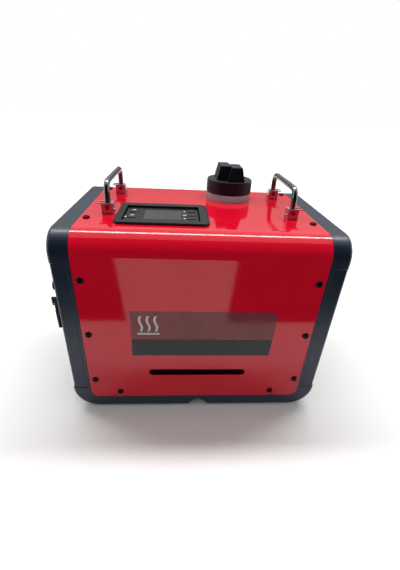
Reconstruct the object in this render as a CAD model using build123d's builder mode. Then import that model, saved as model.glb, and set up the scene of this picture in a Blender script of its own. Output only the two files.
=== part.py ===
"""Portable diesel air heater: a bent steel cover between two moulded end frames, in millimetres.

+X right, +Y back, +Z up, floor at 0. Everything is drawn about the middle of the case, and save()
moves it by shift_x, so that the origin is the middle of the overall footprint.
"""
import os
from math import radians, sin, sqrt

from build123d import *

os.makedirs("parts", exist_ok=True)

# ---------------------------------------------------------------- case
case_width = 384.5        # over the end frames
case_depth = 266.0
case_height = 297.0
bend_radius = 30.0        # outside of the bends at the front and rear of the top
edge_round = 4.0          # outer edges of the base and side covers
frame_round = 6.0         # outer edges of the end frames
wall = 3.0                # moulded plastic
sheet = 1.2               # painted steel
seam = 0.3                # line between two mouldings, or round the steel cover
seat = 0.1                # under the steel cover, where it lies on its ledge
fit = 0.3                 # clearance of anything that is pushed or set into its place

# ---------------------------------------------------------------- steel cover
side_band = 27.25         # from the edge of the steel cover to the side of the case
panel_bottom = 24.0
panel_corner = 12.0
slot_length = 148.0
slot_height = 12.1
slot_z = 75.6

# ---------------------------------------------------------------- end frames and side covers
strip_width = 5.0         # frame that shows between the steel cover and a side cover
ledge_width = 17.0        # ledge under the edge of the steel cover
seam_low = 43.0           # height of the joint between base and side cover
end_band = 40.0           # from the top of the case down to a side cover
seam_corner = 9.0         # rounded upper corner of a side cover, seen from the front
cover_recess = 0.5        # side cover behind the frame's front face
cover_inset = 1.25        # side cover behind the frame's outer face
lip_round = 0.8           # edge of the frame along the side cover
flange_height = 20.0      # tongue behind the edge of a side cover
flange_shy = 16.0         # the tongues stop this far from the front and rear faces
flange_root = 6.0         # overlap of a tongue with what carries it

# ---------------------------------------------------------------- base
base_corner = 37.5        # lower corners, seen from the front
foot_height = 2.5
foot_radius = 13.0
foot_stem_radius = 4.0
foot_stem_length = 6.0
foot_inset_x = 66.25      # from the sides of the case
foot_inset_y = 35.0       # from its front and rear
floor_under = 27.0
floor_thick = 3.0
notch_radius = 15.5

# ---------------------------------------------------------------- screws
m5_head_radius = 4.75
m5_head_height = 2.4
m5_shank_radius = 2.45
m5_hole_radius = 2.5
m5_length = 8.0
hex_socket = 3.0          # across flats
boss_radius = 5.0
boss_length = 4.5
screw_inset = 9.0         # from the edges of the steel cover
low_row = 61.0
high_row_drop = 62.4      # from the top of the case
low_screw_inset = 45.0
low_screw_z = 35.0
top_screw_front = 62.0    # from the front face
top_screw_rear = 40.0     # from the rear face
cover_screw_side = 21.0   # from the front and rear faces
cover_screw_inset = 12.0  # from the seam to the screws of a side cover

# ---------------------------------------------------------------- handles
handle_inset = 34.0       # from the edges of the steel cover
handle_front = 86.0       # from the front face to the front foot
handle_rear = 67.0        # from the rear face to the rear foot
handle_rise = 45.0        # top of the bar above the cover
handle_bar_radius = 4.0
handle_bend = 13.0
bracket_width = 16.0
bracket_height = 15.0
bracket_floor = 3.0
bracket_edge = 0.8        # rounding of the upright edges
bracket_tab = (2.0, 6.0, 3.0)
cheek = 2.4
pin_radius = 2.0
pin_height = 9.0          # pin above the cover
pin_head_radius = 3.2
pin_head = 1.0
pin_clearance = 0.05
lip_length = 5.0
lip_thick = 1.4
stud_radius = 2.45
stud_length = 9.0
backing_width = 18.0
backing_overhang = 12.0
backing_thick = 2.0
nut_flats = 8.0
nut_height = 4.0

# ---------------------------------------------------------------- display
bezel_width = 127.0
bezel_depth = 90.0
bezel_x = -54.5
bezel_front = 83.0        # from the front face to the middle of the bezel
bezel_height = 4.0
bezel_corner = 10.0
recess_width = 104.5
recess_depth = 66.0
recess_shift = (-1.25, -2.75)   # middle of the recess from the middle of the bezel
skirt = 2.0
skirt_depth = 16.0
housing_gap = 1.6         # dark line round the controller
housing_drop = 3.2        # face of the controller below the top of the bezel
housing_height = 25.0
housing_wall = 2.0
lcd_width = 52.0
lcd_depth = 43.0
lcd_shift = (0.95, 2.25)  # the display and the keys are placed from the middle of the recess
lcd_thick = 1.4
lcd_rebate = 3.0          # edge of the window that lies on the housing
key_width = 11.0
key_depth = 7.0
key_corner = 2.0
key_proud = 1.0
key_travel = 0.8
key_flange = 0.8          # wider than the key under the face, so that it stays in
key_flange_thick = 1.0
left_key_x = -41.2
left_key_rows = (13.25, -11.25)
right_key_x = 40.8
right_key_rows = (19.25, 1.75, -13.25)
board_thick = 1.6
post_radius = 2.5
post_inset = 6.0          # from the edge of the housing
housing_tab = (24.0, 4.0)

# ---------------------------------------------------------------- fuel system
neck_x = 52.5
neck_rear = 69.0          # from the rear face
neck_bore = 25.0
neck_tube = 29.0
neck_collar_radius = 37.6
neck_collar_top = 10.0    # collar above the cover
neck_collar_drop = 8.0    # collar below the cover's top
neck_thread_radius = 33.0
neck_thread_height = 15.0
neck_flange_radius = 42.0
neck_flange = 3.0
neck_hole_gap = 0.8
cap_radius = 37.5
cap_top = 4.0
cap_wall = 2.8
cap_edge = 1.2
grip_height = 21.5
grip_draft = 5.0
grip_low = ((-23.0, -16.0), (4.0, 30.0))
grip_high = ((-6.0, -30.0), (21.0, 14.0))
gasket_thick = 2.0
tank_inset = 20.0         # from the edges of the steel cover to the ends of the tank
tank_headroom = 35.0      # from the tank to the top of the case
middle_gap = 21.4         # between the heater unit and the tank
tank_wall = 2.5
tank_corner = 12.0
shelf_height = 76.0
shelf_thick = 2.0
shelf_foot = 14.0
shelf_lip = 12.0
shelf_inset = 20.0        # from the ends of the tank
inner_gap = 8.0           # air between the contents and the ledges of the case
outlet_inset = 27.0       # from the end of the tank
nipple_radius = 2.5
nipple_bore = 1.5
nipple_length = 12.0
hose_radius = 4.0
hose_bend = 20.0
filter_radius = 12.0
filter_length = 38.0
pump_radius = 12.0
pump_length = 58.0
line_height = 34.0        # fuel line above the floor
clip_wall = 4.0
clip_width = 14.0
filter_edge = 3.0
pump_edge = 2.0
hose_link = 13.0
hose_grip = 6.0           # length of nipple inside a hose

# ---------------------------------------------------------------- heater unit
intake_space = 35.0       # from the shell's cold end to the side cover
shell_width = 116.0
shell_height = 118.0
shell_wall = 2.5
shell_corner = 14.0
shell_pad = 2.0
duct_space = 34.0         # from the shell's warm end to the side cover
rest_length = 24.0        # the two feet that are moulded under the shell
rest_width = 80.0
rest_inset = 30.0
inlet_radius = 51.5
fin_count = 20
fin_radius = 51.0
fin_thick = 1.6
exchanger_radius = 35.0
exchanger_wall = 4.0
exchanger_start = 18.0    # from the shell's warm end
plate_thick = 5.0
exhaust_radius = 12.0
intake_radius = 12.5
stub_wall = 1.5
stub_end = 8.0            # lower end of both stubs above the floor
stub_boss_wall = 3.5
stub_gap = 2.5            # round a stub where it passes the floor
stub_bead = 1.4           # height and width of the bead that stops a pushed-on pipe
exhaust_back = 27.5       # from the flange to the exhaust stub
burner_radius = 24.0
burner_wall = 1.5
burner_length = 96.0
burner_flange = 3.0
plug_radius = 5.0
plug_flats = 12.0
plug_back = 16.0          # from the flange to the glow plug
plug_boss = 9.0           # height of its boss above the exchanger
plug_boss_wall = 4.0
plug_hex = 5.0
plug_tip = 2.0
air_box_radius = 50.0
air_box_length = 34.0
chamber_radius = 34.0
chamber_wall = 5.0
pipe_shy = 4.0            # the fuel pipe starts this far outside the chamber
shaft_radius = 3.0
motor_radius = 22.0
motor_length = 46.0
fan_radius = 49.0
fan_width = 15.0
fan_blades = 9
fan_hub_radius = 13.0
fan_gap = 4.0
fan_space = 17.7          # from the fan to the shell's cold end
fan_pitch = 55.0
blade_sheet = 1.6
wheel_radius = 31.0
wheel_width = 11.0
wheel_blades = 14
wheel_blade = (16.0, 1.4)
wheel_disc = 2.0
motor_edge = 3.0
press = 0.01              # between the shaft and what is pressed onto it
control_width = 38.0
control_length = 60.0
control_drop = 10.5       # from the inside of the shell to the board
control_post = (14.0, 24.0)
chip_size = (14.0, 10.0, 6.0)
chip_places = (-14.0, 4.0, 18.0)

# ---------------------------------------------------------------- warm-air outlet
collar_radius = 37.5      # takes a 75 mm duct
collar_wall = 2.5
collar_proud = 12.0
collar_flange_radius = 47.0
collar_flange = 2.5
collar_depth = 25.0       # behind the face of the side cover
ring_wall = 2.6
ring_depth = 15.0
ring_drop = 1.0           # behind the edge of the collar
blade_count = 3
blade_pitch = 18.0
blade_chord = 14.0
blade_thick = 1.8
blade_swing = 35.0        # degrees each way
blade_pin_radius = 1.5

# ---------------------------------------------------------------- air intake in the right side
grille_slots = 9
grille_pitch = 9.5
grille_slot_height = 4.5
grille_slot_length = 88.0

# ---------------------------------------------------------------- power inlet and its lid
inlet_front = 20.0        # middle of the inlet from the front face
inlet_drop = 79.5         # and from the top of the case
inlet_width = 20.0
inlet_height = 43.0
inlet_corner = 3.0
inlet_edge = 1.5
plate_proud = 3.0
socket_proud = 6.0        # collar round the socket, outside the side cover
socket_radius = 8.0
socket_bore = 6.0
socket_depth = 20.0
body_inset = (2.0, 3.0)   # body behind the side cover, inside the outline of its plate
body_depth = 14.0         # behind the side cover
contact_radius = 1.4
contact_shift = 3.0
contact_length = 12.0
lid_thick = 2.4
lid_width = 15.0
lid_length = 45.0         # from the hinge
lid_neck = 12.0           # narrow part between the ears
lid_corner = 6.0
lid_rim = 1.0             # rim that seals the socket
lid_rim_wall = 2.0
lid_pin_radius = 1.0
lid_barrel = 2.2
hinge_drop = 25.2         # from the middle of the socket to the hinge
ear_width = 3.0
ear_reach = 6.0           # of an ear up the plate

# ---------------------------------------------------------------- worked out
half_width = case_width / 2
half_depth = case_depth / 2
cover_face = half_width - cover_inset     # outer face of a side cover
panel_width = case_width - 2 * side_band
panel_half = panel_width / 2
frame_x = panel_half + seam
cover_x = frame_x + strip_width + seam
ledge_inset = sheet + seat
inner_inset = ledge_inset + wall
floor_top = floor_under + floor_thick
seam_high = case_height - end_band
screw_x = panel_half - screw_inset
high_row = case_height - high_row_drop
screw_rows = (low_row, (low_row + high_row) / 2, high_row)
top_screw_rows = (top_screw_front - half_depth, half_depth - top_screw_rear)
low_screw_x = panel_half - low_screw_inset
cover_screw_y = half_depth - cover_screw_side
foot_x = half_width - foot_inset_x
foot_y = half_depth - foot_inset_y
handle_x = panel_half - handle_inset
handle_front_y = handle_front - half_depth
handle_rear_y = half_depth - handle_rear

shell_length = 2 * (cover_face - wall) - duct_space - intake_space
shell_left = -cover_face + wall + duct_space
heater_y = -(half_depth - inner_inset - inner_gap - shell_width / 2)
heater_z = floor_top + shell_pad + shell_height / 2
shell_back = heater_y + shell_width / 2
line_z = floor_top + line_height
fan_right = shell_left + shell_length - fan_space
fan_left = fan_right - fan_width
motor_right = fan_left - fan_gap
air_box_right = motor_right - motor_length
air_box_left = air_box_right - air_box_length
flange_right = air_box_left - fit
flange_left = flange_right - plate_thick
exchanger_left = shell_left + exchanger_start
exchanger_length = flange_left - exchanger_left
exhaust_x = flange_left - exhaust_back
intake_x = (air_box_left + air_box_right) / 2

tank_length = panel_width - 2 * tank_inset
tank_front = shell_back + middle_gap
tank_back = half_depth - inner_inset - inner_gap
tank_width = tank_back - tank_front
tank_y = (tank_front + tank_back) / 2
tank_bottom = floor_top + shelf_height
tank_top = case_height - tank_headroom
tank_height = tank_top - tank_bottom
outlet_x = outlet_inset - tank_length / 2
neck_y = half_depth - neck_rear
bezel_y = bezel_front - half_depth
recess_x = bezel_x + recess_shift[0]
recess_y = bezel_y + recess_shift[1]
inlet_y = inlet_front - half_depth
inlet_z = case_height - inlet_drop
collar_end = -cover_face - collar_proud
blade_x = collar_end + ring_drop + ring_depth / 2
# the whole width runs from the outlet, or the hinge of the inlet's lid, to the screw heads
hinge_proud = socket_proud + fit + lid_thick / 2
shift_x = (max(collar_proud, hinge_proud + lid_barrel) - m5_head_height) / 2


# ---------------------------------------------------------------- shapes used more than once
def arch(inset, low, mode=Mode.ADD):
    """Side view of the case, inside its skin by inset and cut off level at low."""
    half = half_depth - inset
    top = case_height - inset
    bend = bend_radius - inset
    with BuildLine() as outline:
        Polyline((-half, top - bend), (-half, low), (half, low), (half, top - bend))
        RadiusArc((half, top - bend), (half - bend, top), -bend)
        Line((half - bend, top), (-half + bend, top))
        RadiusArc((-half + bend, top), (-half, top - bend), -bend)
    make_face(outline.edges(), mode=mode)


def base_outline(inset, high, mode=Mode.ADD):
    """Front view of the base, inside its skin by inset, up to high."""
    half = half_width - inset
    low = foot_height + inset
    bend = base_corner - inset
    with BuildLine() as outline:
        Polyline((half, low + bend), (half, high), (-half, high), (-half, low + bend))
        RadiusArc((-half, low + bend), (-half + bend, low), -bend)
        Line((-half + bend, low), (half - bend, low))
        RadiusArc((half - bend, low), (half, low + bend), -bend)
    make_face(outline.edges(), mode=mode)


def block(low, high, mode=Mode.ADD):
    """A box between two opposite corners."""
    middle = tuple((a + b) / 2 for a, b in zip(low, high))
    with Locations(middle):
        Box(*[b - a for a, b in zip(low, high)], mode=mode)


def rod(start, direction, radius, length, mode=Mode.ADD):
    """A round bar from start along direction."""
    with BuildSketch(Plane(origin=start, z_dir=direction)) as section:
        Circle(radius)
    extrude(section.sketch, amount=length, mode=mode)


def rounded_bar(width, depth, corner, plane, length, mode=Mode.ADD):
    """A bar with a round-cornered section, drawn on plane."""
    with BuildSketch(plane) as section:
        RectangleRounded(width, depth, corner)
    extrude(section.sketch, amount=length, mode=mode)


def save(part, name):
    """Write one piece, moved from the middle of the case to the middle of the whole footprint."""
    placed = part.moved(Location((shift_x, 0, 0)))
    placed.label = name
    export_step(placed, f"parts/{name}.step")


def outward_planes():
    """One plane at each screw of the steel cover, with its normal out of the case."""
    planes = []
    for x in (-screw_x, screw_x):
        for z in screw_rows:
            planes.append(Plane(origin=(x, -half_depth, z), z_dir=(0, -1, 0)))
            planes.append(Plane(origin=(x, half_depth, z), z_dir=(0, 1, 0)))
        for y in top_screw_rows:
            planes.append(Plane(origin=(x, y, case_height), z_dir=(0, 0, 1)))
    for x in (-low_screw_x, low_screw_x):
        planes.append(Plane(origin=(x, -half_depth, low_screw_z), z_dir=(0, -1, 0)))
        planes.append(Plane(origin=(x, half_depth, low_screw_z), z_dir=(0, 1, 0)))
    return planes


def side_planes(side):
    """One plane at each screw of a side cover, with its normal out of the case."""
    rows = (seam_low + cover_screw_inset, seam_high - cover_screw_inset)
    places = [(y, z) for y in (-cover_screw_y, cover_screw_y) for z in rows]
    return [Plane(origin=(side * cover_face, y, z), z_dir=(side, 0, 0)) for y, z in places]


def screw_boss(plane, skin):
    """A boss behind a wall whose outer face lies skin under the plane."""
    start = plane.offset(-skin - wall + seat)
    rod(start.origin, -start.z_dir, boss_radius, boss_length)


def screw_hole(plane):
    start = plane.offset(1)
    rod(start.origin, -start.z_dir, m5_hole_radius, m5_length + 2, Mode.SUBTRACT)


panel_planes = outward_planes()
frame_planes = [p for p in panel_planes if abs(p.origin.X) > panel_half - ledge_width]
base_planes = [p for p in panel_planes if p not in frame_planes]

# ---------------------------------------------------------------- steel cover
with BuildPart() as steel_cover:
    with BuildSketch(Plane.YZ.offset(-panel_half)):
        arch(0, panel_bottom)
        arch(sheet, panel_bottom - 1, mode=Mode.SUBTRACT)
    extrude(amount=panel_width)
    fillet(steel_cover.edges().filter_by(Axis.Y).group_by(Axis.Z)[0], panel_corner)
    with BuildSketch(Plane.XZ.offset(half_depth + 1)):
        with Locations((0, slot_z)):
            SlotOverall(slot_length, slot_height)
    extrude(amount=-2 - sheet, mode=Mode.SUBTRACT)
    with BuildSketch(Plane.XY.offset(case_height + 1)):
        with Locations((neck_x, neck_y)):
            Circle(neck_collar_radius + neck_hole_gap)
        with Locations((recess_x, recess_y)):
            Rectangle(recess_width + 2 * (skirt + fit), recess_depth + 2 * (skirt + fit))
    extrude(amount=-2 - sheet, mode=Mode.SUBTRACT)
    for plane in panel_planes:
        screw_hole(plane)
    for x in (-handle_x, handle_x):
        for y in (handle_front_y, handle_rear_y):
            rod((x, y, case_height + 1), (0, 0, -1), stud_radius + fit, 2 + sheet, Mode.SUBTRACT)
save(steel_cover.part, "steel_cover")


# ---------------------------------------------------------------- end frames
with BuildPart() as right_end_frame:
    with BuildSketch(Plane.YZ.offset(frame_x)):
        arch(0, seam_high + seam)
    extrude(amount=half_width - frame_x)
    outer_face = right_end_frame.faces().sort_by(Axis.X)[-1]
    fillet(outer_face.edges().sort_by(Axis.Z)[1:], frame_round)
    with BuildSketch(Plane.YZ.offset(half_width - wall)):
        arch(wall, seam_high - wall)
    extrude(amount=-(half_width - wall - frame_x), mode=Mode.SUBTRACT)
    with BuildSketch(Plane.YZ.offset(frame_x)):
        arch(0, seam_low + seam)
        arch(wall, seam_low - 1, mode=Mode.SUBTRACT)
    extrude(amount=strip_width)
    with BuildSketch(Plane.YZ.offset(panel_half - ledge_width)):
        arch(ledge_inset, seam_low + seam)
        arch(inner_inset, seam_low - 1, mode=Mode.SUBTRACT)
    extrude(amount=ledge_width + seam + strip_width)
    for y in (-half_depth, half_depth - wall):
        with BuildSketch(Plane.XZ.offset(-y)):
            with BuildLine():
                corner_x = cover_x - seam
                Line((corner_x + seam_corner, seam_high + seam), (corner_x, seam_high + seam))
                Line((corner_x, seam_high + seam), (corner_x, seam_high + seam - seam_corner))
                RadiusArc(
                    (corner_x, seam_high + seam - seam_corner),
                    (corner_x + seam_corner, seam_high + seam),
                    seam_corner,
                )
            make_face()
        extrude(amount=-wall)
    lip_edges = [
        edge for edge in right_end_frame.edges()
        if abs(abs(edge.center().Y) - half_depth) < seat
        and edge.center().X > cover_x - seam - seat and edge.center().Z < seam_high + seam + seat
    ]
    fillet(lip_edges, lip_round)
    tongue = cover_face - wall - fit
    reach = half_depth - flange_shy
    block((tongue - wall, -reach, seam_high - flange_height), (tongue, reach, seam_high + flange_root))
    rim = tongue + 1 + cover_inset
    block((tongue - wall, -reach, seam_high + seam), (rim, reach, seam_high + flange_root))
    for plane in frame_planes:
        if plane.origin.X > 0:
            screw_boss(plane, ledge_inset)
    for plane in side_planes(1):
        if plane.origin.Z > case_height / 2:
            screw_boss(plane, wall + fit)
    for plane in frame_planes + side_planes(1):
        screw_hole(plane)
save(right_end_frame.part, "right_end_frame")

with BuildPart() as left_end_frame:
    mirror(right_end_frame.part, about=Plane.YZ)
save(left_end_frame.part, "left_end_frame")

# ---------------------------------------------------------------- base
with BuildPart() as base_tray:
    with BuildSketch(Plane.XZ.offset(half_depth)):
        base_outline(0, seam_low)
    extrude(amount=-case_depth)
    for face in (base_tray.faces().sort_by(Axis.Y)[0], base_tray.faces().sort_by(Axis.Y)[-1]):
        fillet(face.edges().sort_by(Axis.Z)[:-1], edge_round)
    with BuildSketch(Plane.XZ.offset(half_depth - inner_inset)):
        base_outline(wall, seam_low + 1)
        with Locations((0, floor_top / 2)):
            Rectangle(2 * case_width, floor_top, mode=Mode.SUBTRACT)
    extrude(amount=-(case_depth - 2 * inner_inset), mode=Mode.SUBTRACT)
    with BuildSketch(Plane.XZ.offset(half_depth - wall)):
        base_outline(wall, seam_low + 1)
        with Locations((0, floor_under + case_height / 2)):
            Rectangle(2 * case_width, case_height, mode=Mode.SUBTRACT)
        with Locations((0, foot_height + wall / 2)):
            Rectangle(2 * (half_width - base_corner), 3 * wall)
    extrude(amount=-(case_depth - 2 * wall), mode=Mode.SUBTRACT)
    for y in (-half_depth, half_depth - ledge_inset):
        with BuildSketch(Plane.XZ.offset(-y)):
            with Locations((0, panel_bottom - seam + seam_low / 2)):
                recess = Rectangle(2 * frame_x, seam_low)
            fillet(recess.vertices().group_by(Axis.Y)[0], panel_corner + seam)
        extrude(amount=-ledge_inset, mode=Mode.SUBTRACT)
    for x in (-foot_x, foot_x):
        for y in (-foot_y, foot_y):
            rod((x, y, foot_height), (0, 0, 1), foot_radius, floor_under - foot_height)
            rod((x, y, 0), (0, 0, 1), foot_stem_radius + seat, foot_height + foot_stem_length + 1,
                Mode.SUBTRACT)
    rod((exhaust_x, half_depth + 1, 0), (0, -1, 0), notch_radius, case_depth + 2, Mode.SUBTRACT)
    for x in (exhaust_x, intake_x):
        rod((x, heater_y, floor_under - 1), (0, 0, 1), intake_radius + stub_gap, floor_thick + 2,
            Mode.SUBTRACT)
    for side in (-1, 1):
        inner = side * (cover_face - 2 * wall - fit)
        outer = side * (cover_face - wall - fit)
        low_x, high_x = min(inner, outer), max(inner, outer)
        reach = half_depth - flange_shy
        block((low_x, -reach, seam_low - flange_root), (high_x, reach, seam_low + flange_height))
        rim = outer + side * (1 + cover_inset)
        rim_low, rim_high = min(inner, rim), max(inner, rim)
        block((rim_low, -reach, seam_low - flange_root), (rim_high, reach, seam_low))
    rod((-half_width, heater_y, heater_z), (1, 0, 0), collar_radius + fit, 4 * wall, Mode.SUBTRACT)
    for plane in base_planes:
        screw_boss(plane, ledge_inset)
    for side in (-1, 1):
        for plane in side_planes(side):
            if plane.origin.Z < case_height / 2:
                screw_boss(plane, wall + fit)
            screw_hole(plane)
    for plane in base_planes:
        screw_hole(plane)
save(base_tray.part, "base_tray")

with BuildPart() as rubber_feet:
    for x in (-foot_x, foot_x):
        for y in (-foot_y, foot_y):
            rod((x, y, 0), (0, 0, 1), foot_radius - 1, foot_height)
            rod((x, y, foot_height), (0, 0, 1), foot_stem_radius, foot_stem_length)
save(rubber_feet.part, "rubber_feet")


# ---------------------------------------------------------------- side covers
def cover_shell(side):
    """The side cover's outer wall with its short returns at the front and rear."""
    inner, outer = side * cover_x, side * cover_face
    face_y = half_depth - cover_recess
    low, high = seam_low + seam, seam_high - seam
    block((min(inner, outer), -face_y, low), (max(inner, outer), face_y, high))
    outer_edges = edges().filter_by(Axis.Z).sort_by(Axis.X)
    fillet(outer_edges[-2:] if side > 0 else outer_edges[:2], edge_round)
    top_edges = edges().filter_by(Axis.Y).group_by(Axis.Z)[-1].sort_by(Axis.X)
    fillet(top_edges[0] if side > 0 else top_edges[-1], seam_corner)
    cut_outer = side * (cover_face - wall)
    low_x, high_x = min(inner - side, cut_outer), max(inner - side, cut_outer)
    block((low_x, -face_y + wall, low - 1), (high_x, face_y - wall, high + 1), Mode.SUBTRACT)
    for plane in side_planes(side):
        screw_hole(plane)


with BuildPart() as right_side_cover:
    cover_shell(1)
    with BuildSketch(Plane.YZ.offset(cover_face + 1)):
        with Locations((heater_y, heater_z)):
            with GridLocations(0, grille_pitch, 1, grille_slots):
                SlotOverall(grille_slot_length, grille_slot_height)
    extrude(amount=-wall - 2, mode=Mode.SUBTRACT)
save(right_side_cover.part, "right_side_cover")

with BuildPart() as left_side_cover:
    cover_shell(-1)
    with BuildSketch(Plane.YZ.offset(-cover_face - 1)):
        with Locations((heater_y, heater_z)):
            Circle(collar_radius + fit)
        with Locations((inlet_y, inlet_z)):
            Rectangle(inlet_width - 2 * body_inset[0], inlet_height - 2 * body_inset[1])
    extrude(amount=wall + 2, mode=Mode.SUBTRACT)
save(left_side_cover.part, "left_side_cover")

# ---------------------------------------------------------------- screws
with BuildPart() as button_screw:
    rod((0, 0, 0), (0, 0, 1), m5_head_radius, m5_head_height)
    fillet(button_screw.edges().group_by(Axis.Z)[-1], m5_head_height - 0.5)
    with BuildSketch(Plane.XY.offset(m5_head_height)):
        RegularPolygon(hex_socket / sqrt(3), 6)
    extrude(amount=-1.5, mode=Mode.SUBTRACT)
    rod((0, 0, 0), (0, 0, -1), m5_shank_radius, m5_length)

with BuildPart() as panel_screws:
    with Locations(*panel_planes):
        add(button_screw.part)
save(panel_screws.part, "panel_screws")

with BuildPart() as side_cover_screws:
    with Locations(*(side_planes(-1) + side_planes(1))):
        add(button_screw.part)
save(side_cover_screws.part, "side_cover_screws")

# ---------------------------------------------------------------- carrying handles
pin_z = case_height + pin_height
handle_feet = [(x, y) for x in (-handle_x, handle_x) for y in (handle_front_y, handle_rear_y)]
cheek_gap = 2 * handle_bar_radius + 2 * fit

with BuildPart() as handle_brackets:
    for x, y in handle_feet:
        side = 1 if x > 0 else -1
        half = bracket_width / 2
        low = (x - half, y - cheek_gap / 2 - cheek, case_height)
        high = (x + half, y + cheek_gap / 2 + cheek, case_height + bracket_height)
        block(low, high)
        stop_x = x - side * (handle_bar_radius + fit)
        open_x = x + side * (half + 1)
        cut_low = (min(stop_x, open_x), y - cheek_gap / 2, case_height + bracket_floor)
        cut_high = (max(stop_x, open_x), y + cheek_gap / 2, case_height + bracket_height + 1)
        block(cut_low, cut_high, Mode.SUBTRACT)
        tab_length, tab_width, tab_thick = bracket_tab
        tab_near, tab_far = x - side * half, x - side * (half + tab_length)
        tab_low = case_height + bracket_floor
        block(
            (min(tab_near, tab_far), y - tab_width / 2, tab_low),
            (max(tab_near, tab_far), y + tab_width / 2, tab_low + tab_thick),
        )
        for cheek_y in (y - cheek_gap / 2 - cheek, y + cheek_gap / 2):
            tip_x = x + side * (half + lip_length)
            block(
                (min(x + side * (half - 1), tip_x), cheek_y, case_height + bracket_height - lip_thick),
                (max(x + side * (half - 1), tip_x), cheek_y + cheek, case_height + bracket_height),
            )
        rod((x, y - cheek_gap, pin_z), (0, 1, 0), pin_radius + seat / 2, 2 * cheek_gap, Mode.SUBTRACT)
        rod((x, y, case_height + bracket_floor), (0, 0, -1), stud_radius, bracket_floor + stud_length)
    upright = handle_brackets.edges().filter_by(Axis.Z).group_by(SortBy.LENGTH)[-1]
    fillet(upright, bracket_edge)
save(handle_brackets.part, "handle_brackets")

with BuildPart() as handle_pins:
    for x, y in handle_feet:
        half_pin = cheek_gap / 2 + cheek + seat
        rod((x, y - half_pin, pin_z), (0, 1, 0), pin_radius, 2 * half_pin)
        rod((x, y - half_pin, pin_z), (0, -1, 0), pin_head_radius, pin_head)
        rod((x, y + half_pin, pin_z), (0, 1, 0), pin_head_radius, pin_head)
save(handle_pins.part, "handle_pins")


def handle_bar(x):
    """A round bar bent to a U, with an eye for the pin at each end."""
    top = case_height + handle_rise - handle_bar_radius
    with BuildLine() as path:
        FilletPolyline(
            (x, handle_front_y, pin_z),
            (x, handle_front_y, top),
            (x, handle_rear_y, top),
            (x, handle_rear_y, pin_z),
            radius=handle_bend,
        )
    with BuildSketch(Plane(origin=(x, handle_front_y, pin_z), z_dir=(0, 0, 1))) as section:
        Circle(handle_bar_radius)
    sweep(section.sketch, path=path.line)
    for y in (handle_front_y, handle_rear_y):
        with Locations((x, y, pin_z)):
            Sphere(handle_bar_radius)
        rod((x, y - handle_bar_radius - 1, pin_z), (0, 1, 0), pin_radius + pin_clearance,
            2 * handle_bar_radius + 2, Mode.SUBTRACT)


with BuildPart() as left_handle:
    handle_bar(-handle_x)
save(left_handle.part, "left_handle")

with BuildPart() as right_handle:
    handle_bar(handle_x)
save(right_handle.part, "right_handle")

backing_top = case_height - sheet - seat
with BuildPart() as handle_backing_plates:
    for x in (-handle_x, handle_x):
        block(
            (x - backing_width / 2, handle_front_y - backing_overhang, backing_top - backing_thick),
            (x + backing_width / 2, handle_rear_y + backing_overhang, backing_top),
        )
    for x, y in handle_feet:
        rod((x, y, case_height), (0, 0, -1), stud_radius + seat, 10, Mode.SUBTRACT)
save(handle_backing_plates.part, "handle_backing_plates")

with BuildPart() as handle_nuts:
    with BuildSketch(Plane.XY.offset(backing_top - backing_thick - seat)):
        with Locations(*handle_feet):
            RegularPolygon(nut_flats / sqrt(3), 6)
            Circle(stud_radius + seat / 2, mode=Mode.SUBTRACT)
    extrude(amount=-nut_height)
save(handle_nuts.part, "handle_nuts")

# ---------------------------------------------------------------- display
bezel_top = case_height + bezel_height
face_z = bezel_top - housing_drop
housing_width = recess_width - 2 * housing_gap
housing_depth = recess_depth - 2 * housing_gap
lcd_x = recess_x + lcd_shift[0]
lcd_y = recess_y + lcd_shift[1]
left_keys = [(recess_x + left_key_x, recess_y + y) for y in left_key_rows]
right_keys = [(recess_x + right_key_x, recess_y + y) for y in right_key_rows]
key_places = left_keys + right_keys
board_top = face_z - housing_wall - fit - key_flange_thick - key_travel - fit

with BuildPart() as display_bezel:
    rounded_bar(bezel_width, bezel_depth, bezel_corner,
                Plane((bezel_x, bezel_y, case_height + seat)), bezel_height - seat)
    fillet(display_bezel.edges().group_by(Axis.Z)[-1], 2.0)
    rounded_bar(recess_width + 2 * skirt, recess_depth + 2 * skirt, 2.0,
                Plane((recess_x, recess_y, case_height - skirt_depth)), skirt_depth + 1)
    rounded_bar(recess_width, recess_depth, 1.0,
                Plane((recess_x, recess_y, case_height - skirt_depth - 1)),
                skirt_depth + bezel_height + 2, Mode.SUBTRACT)
save(display_bezel.part, "display_bezel")

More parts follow.
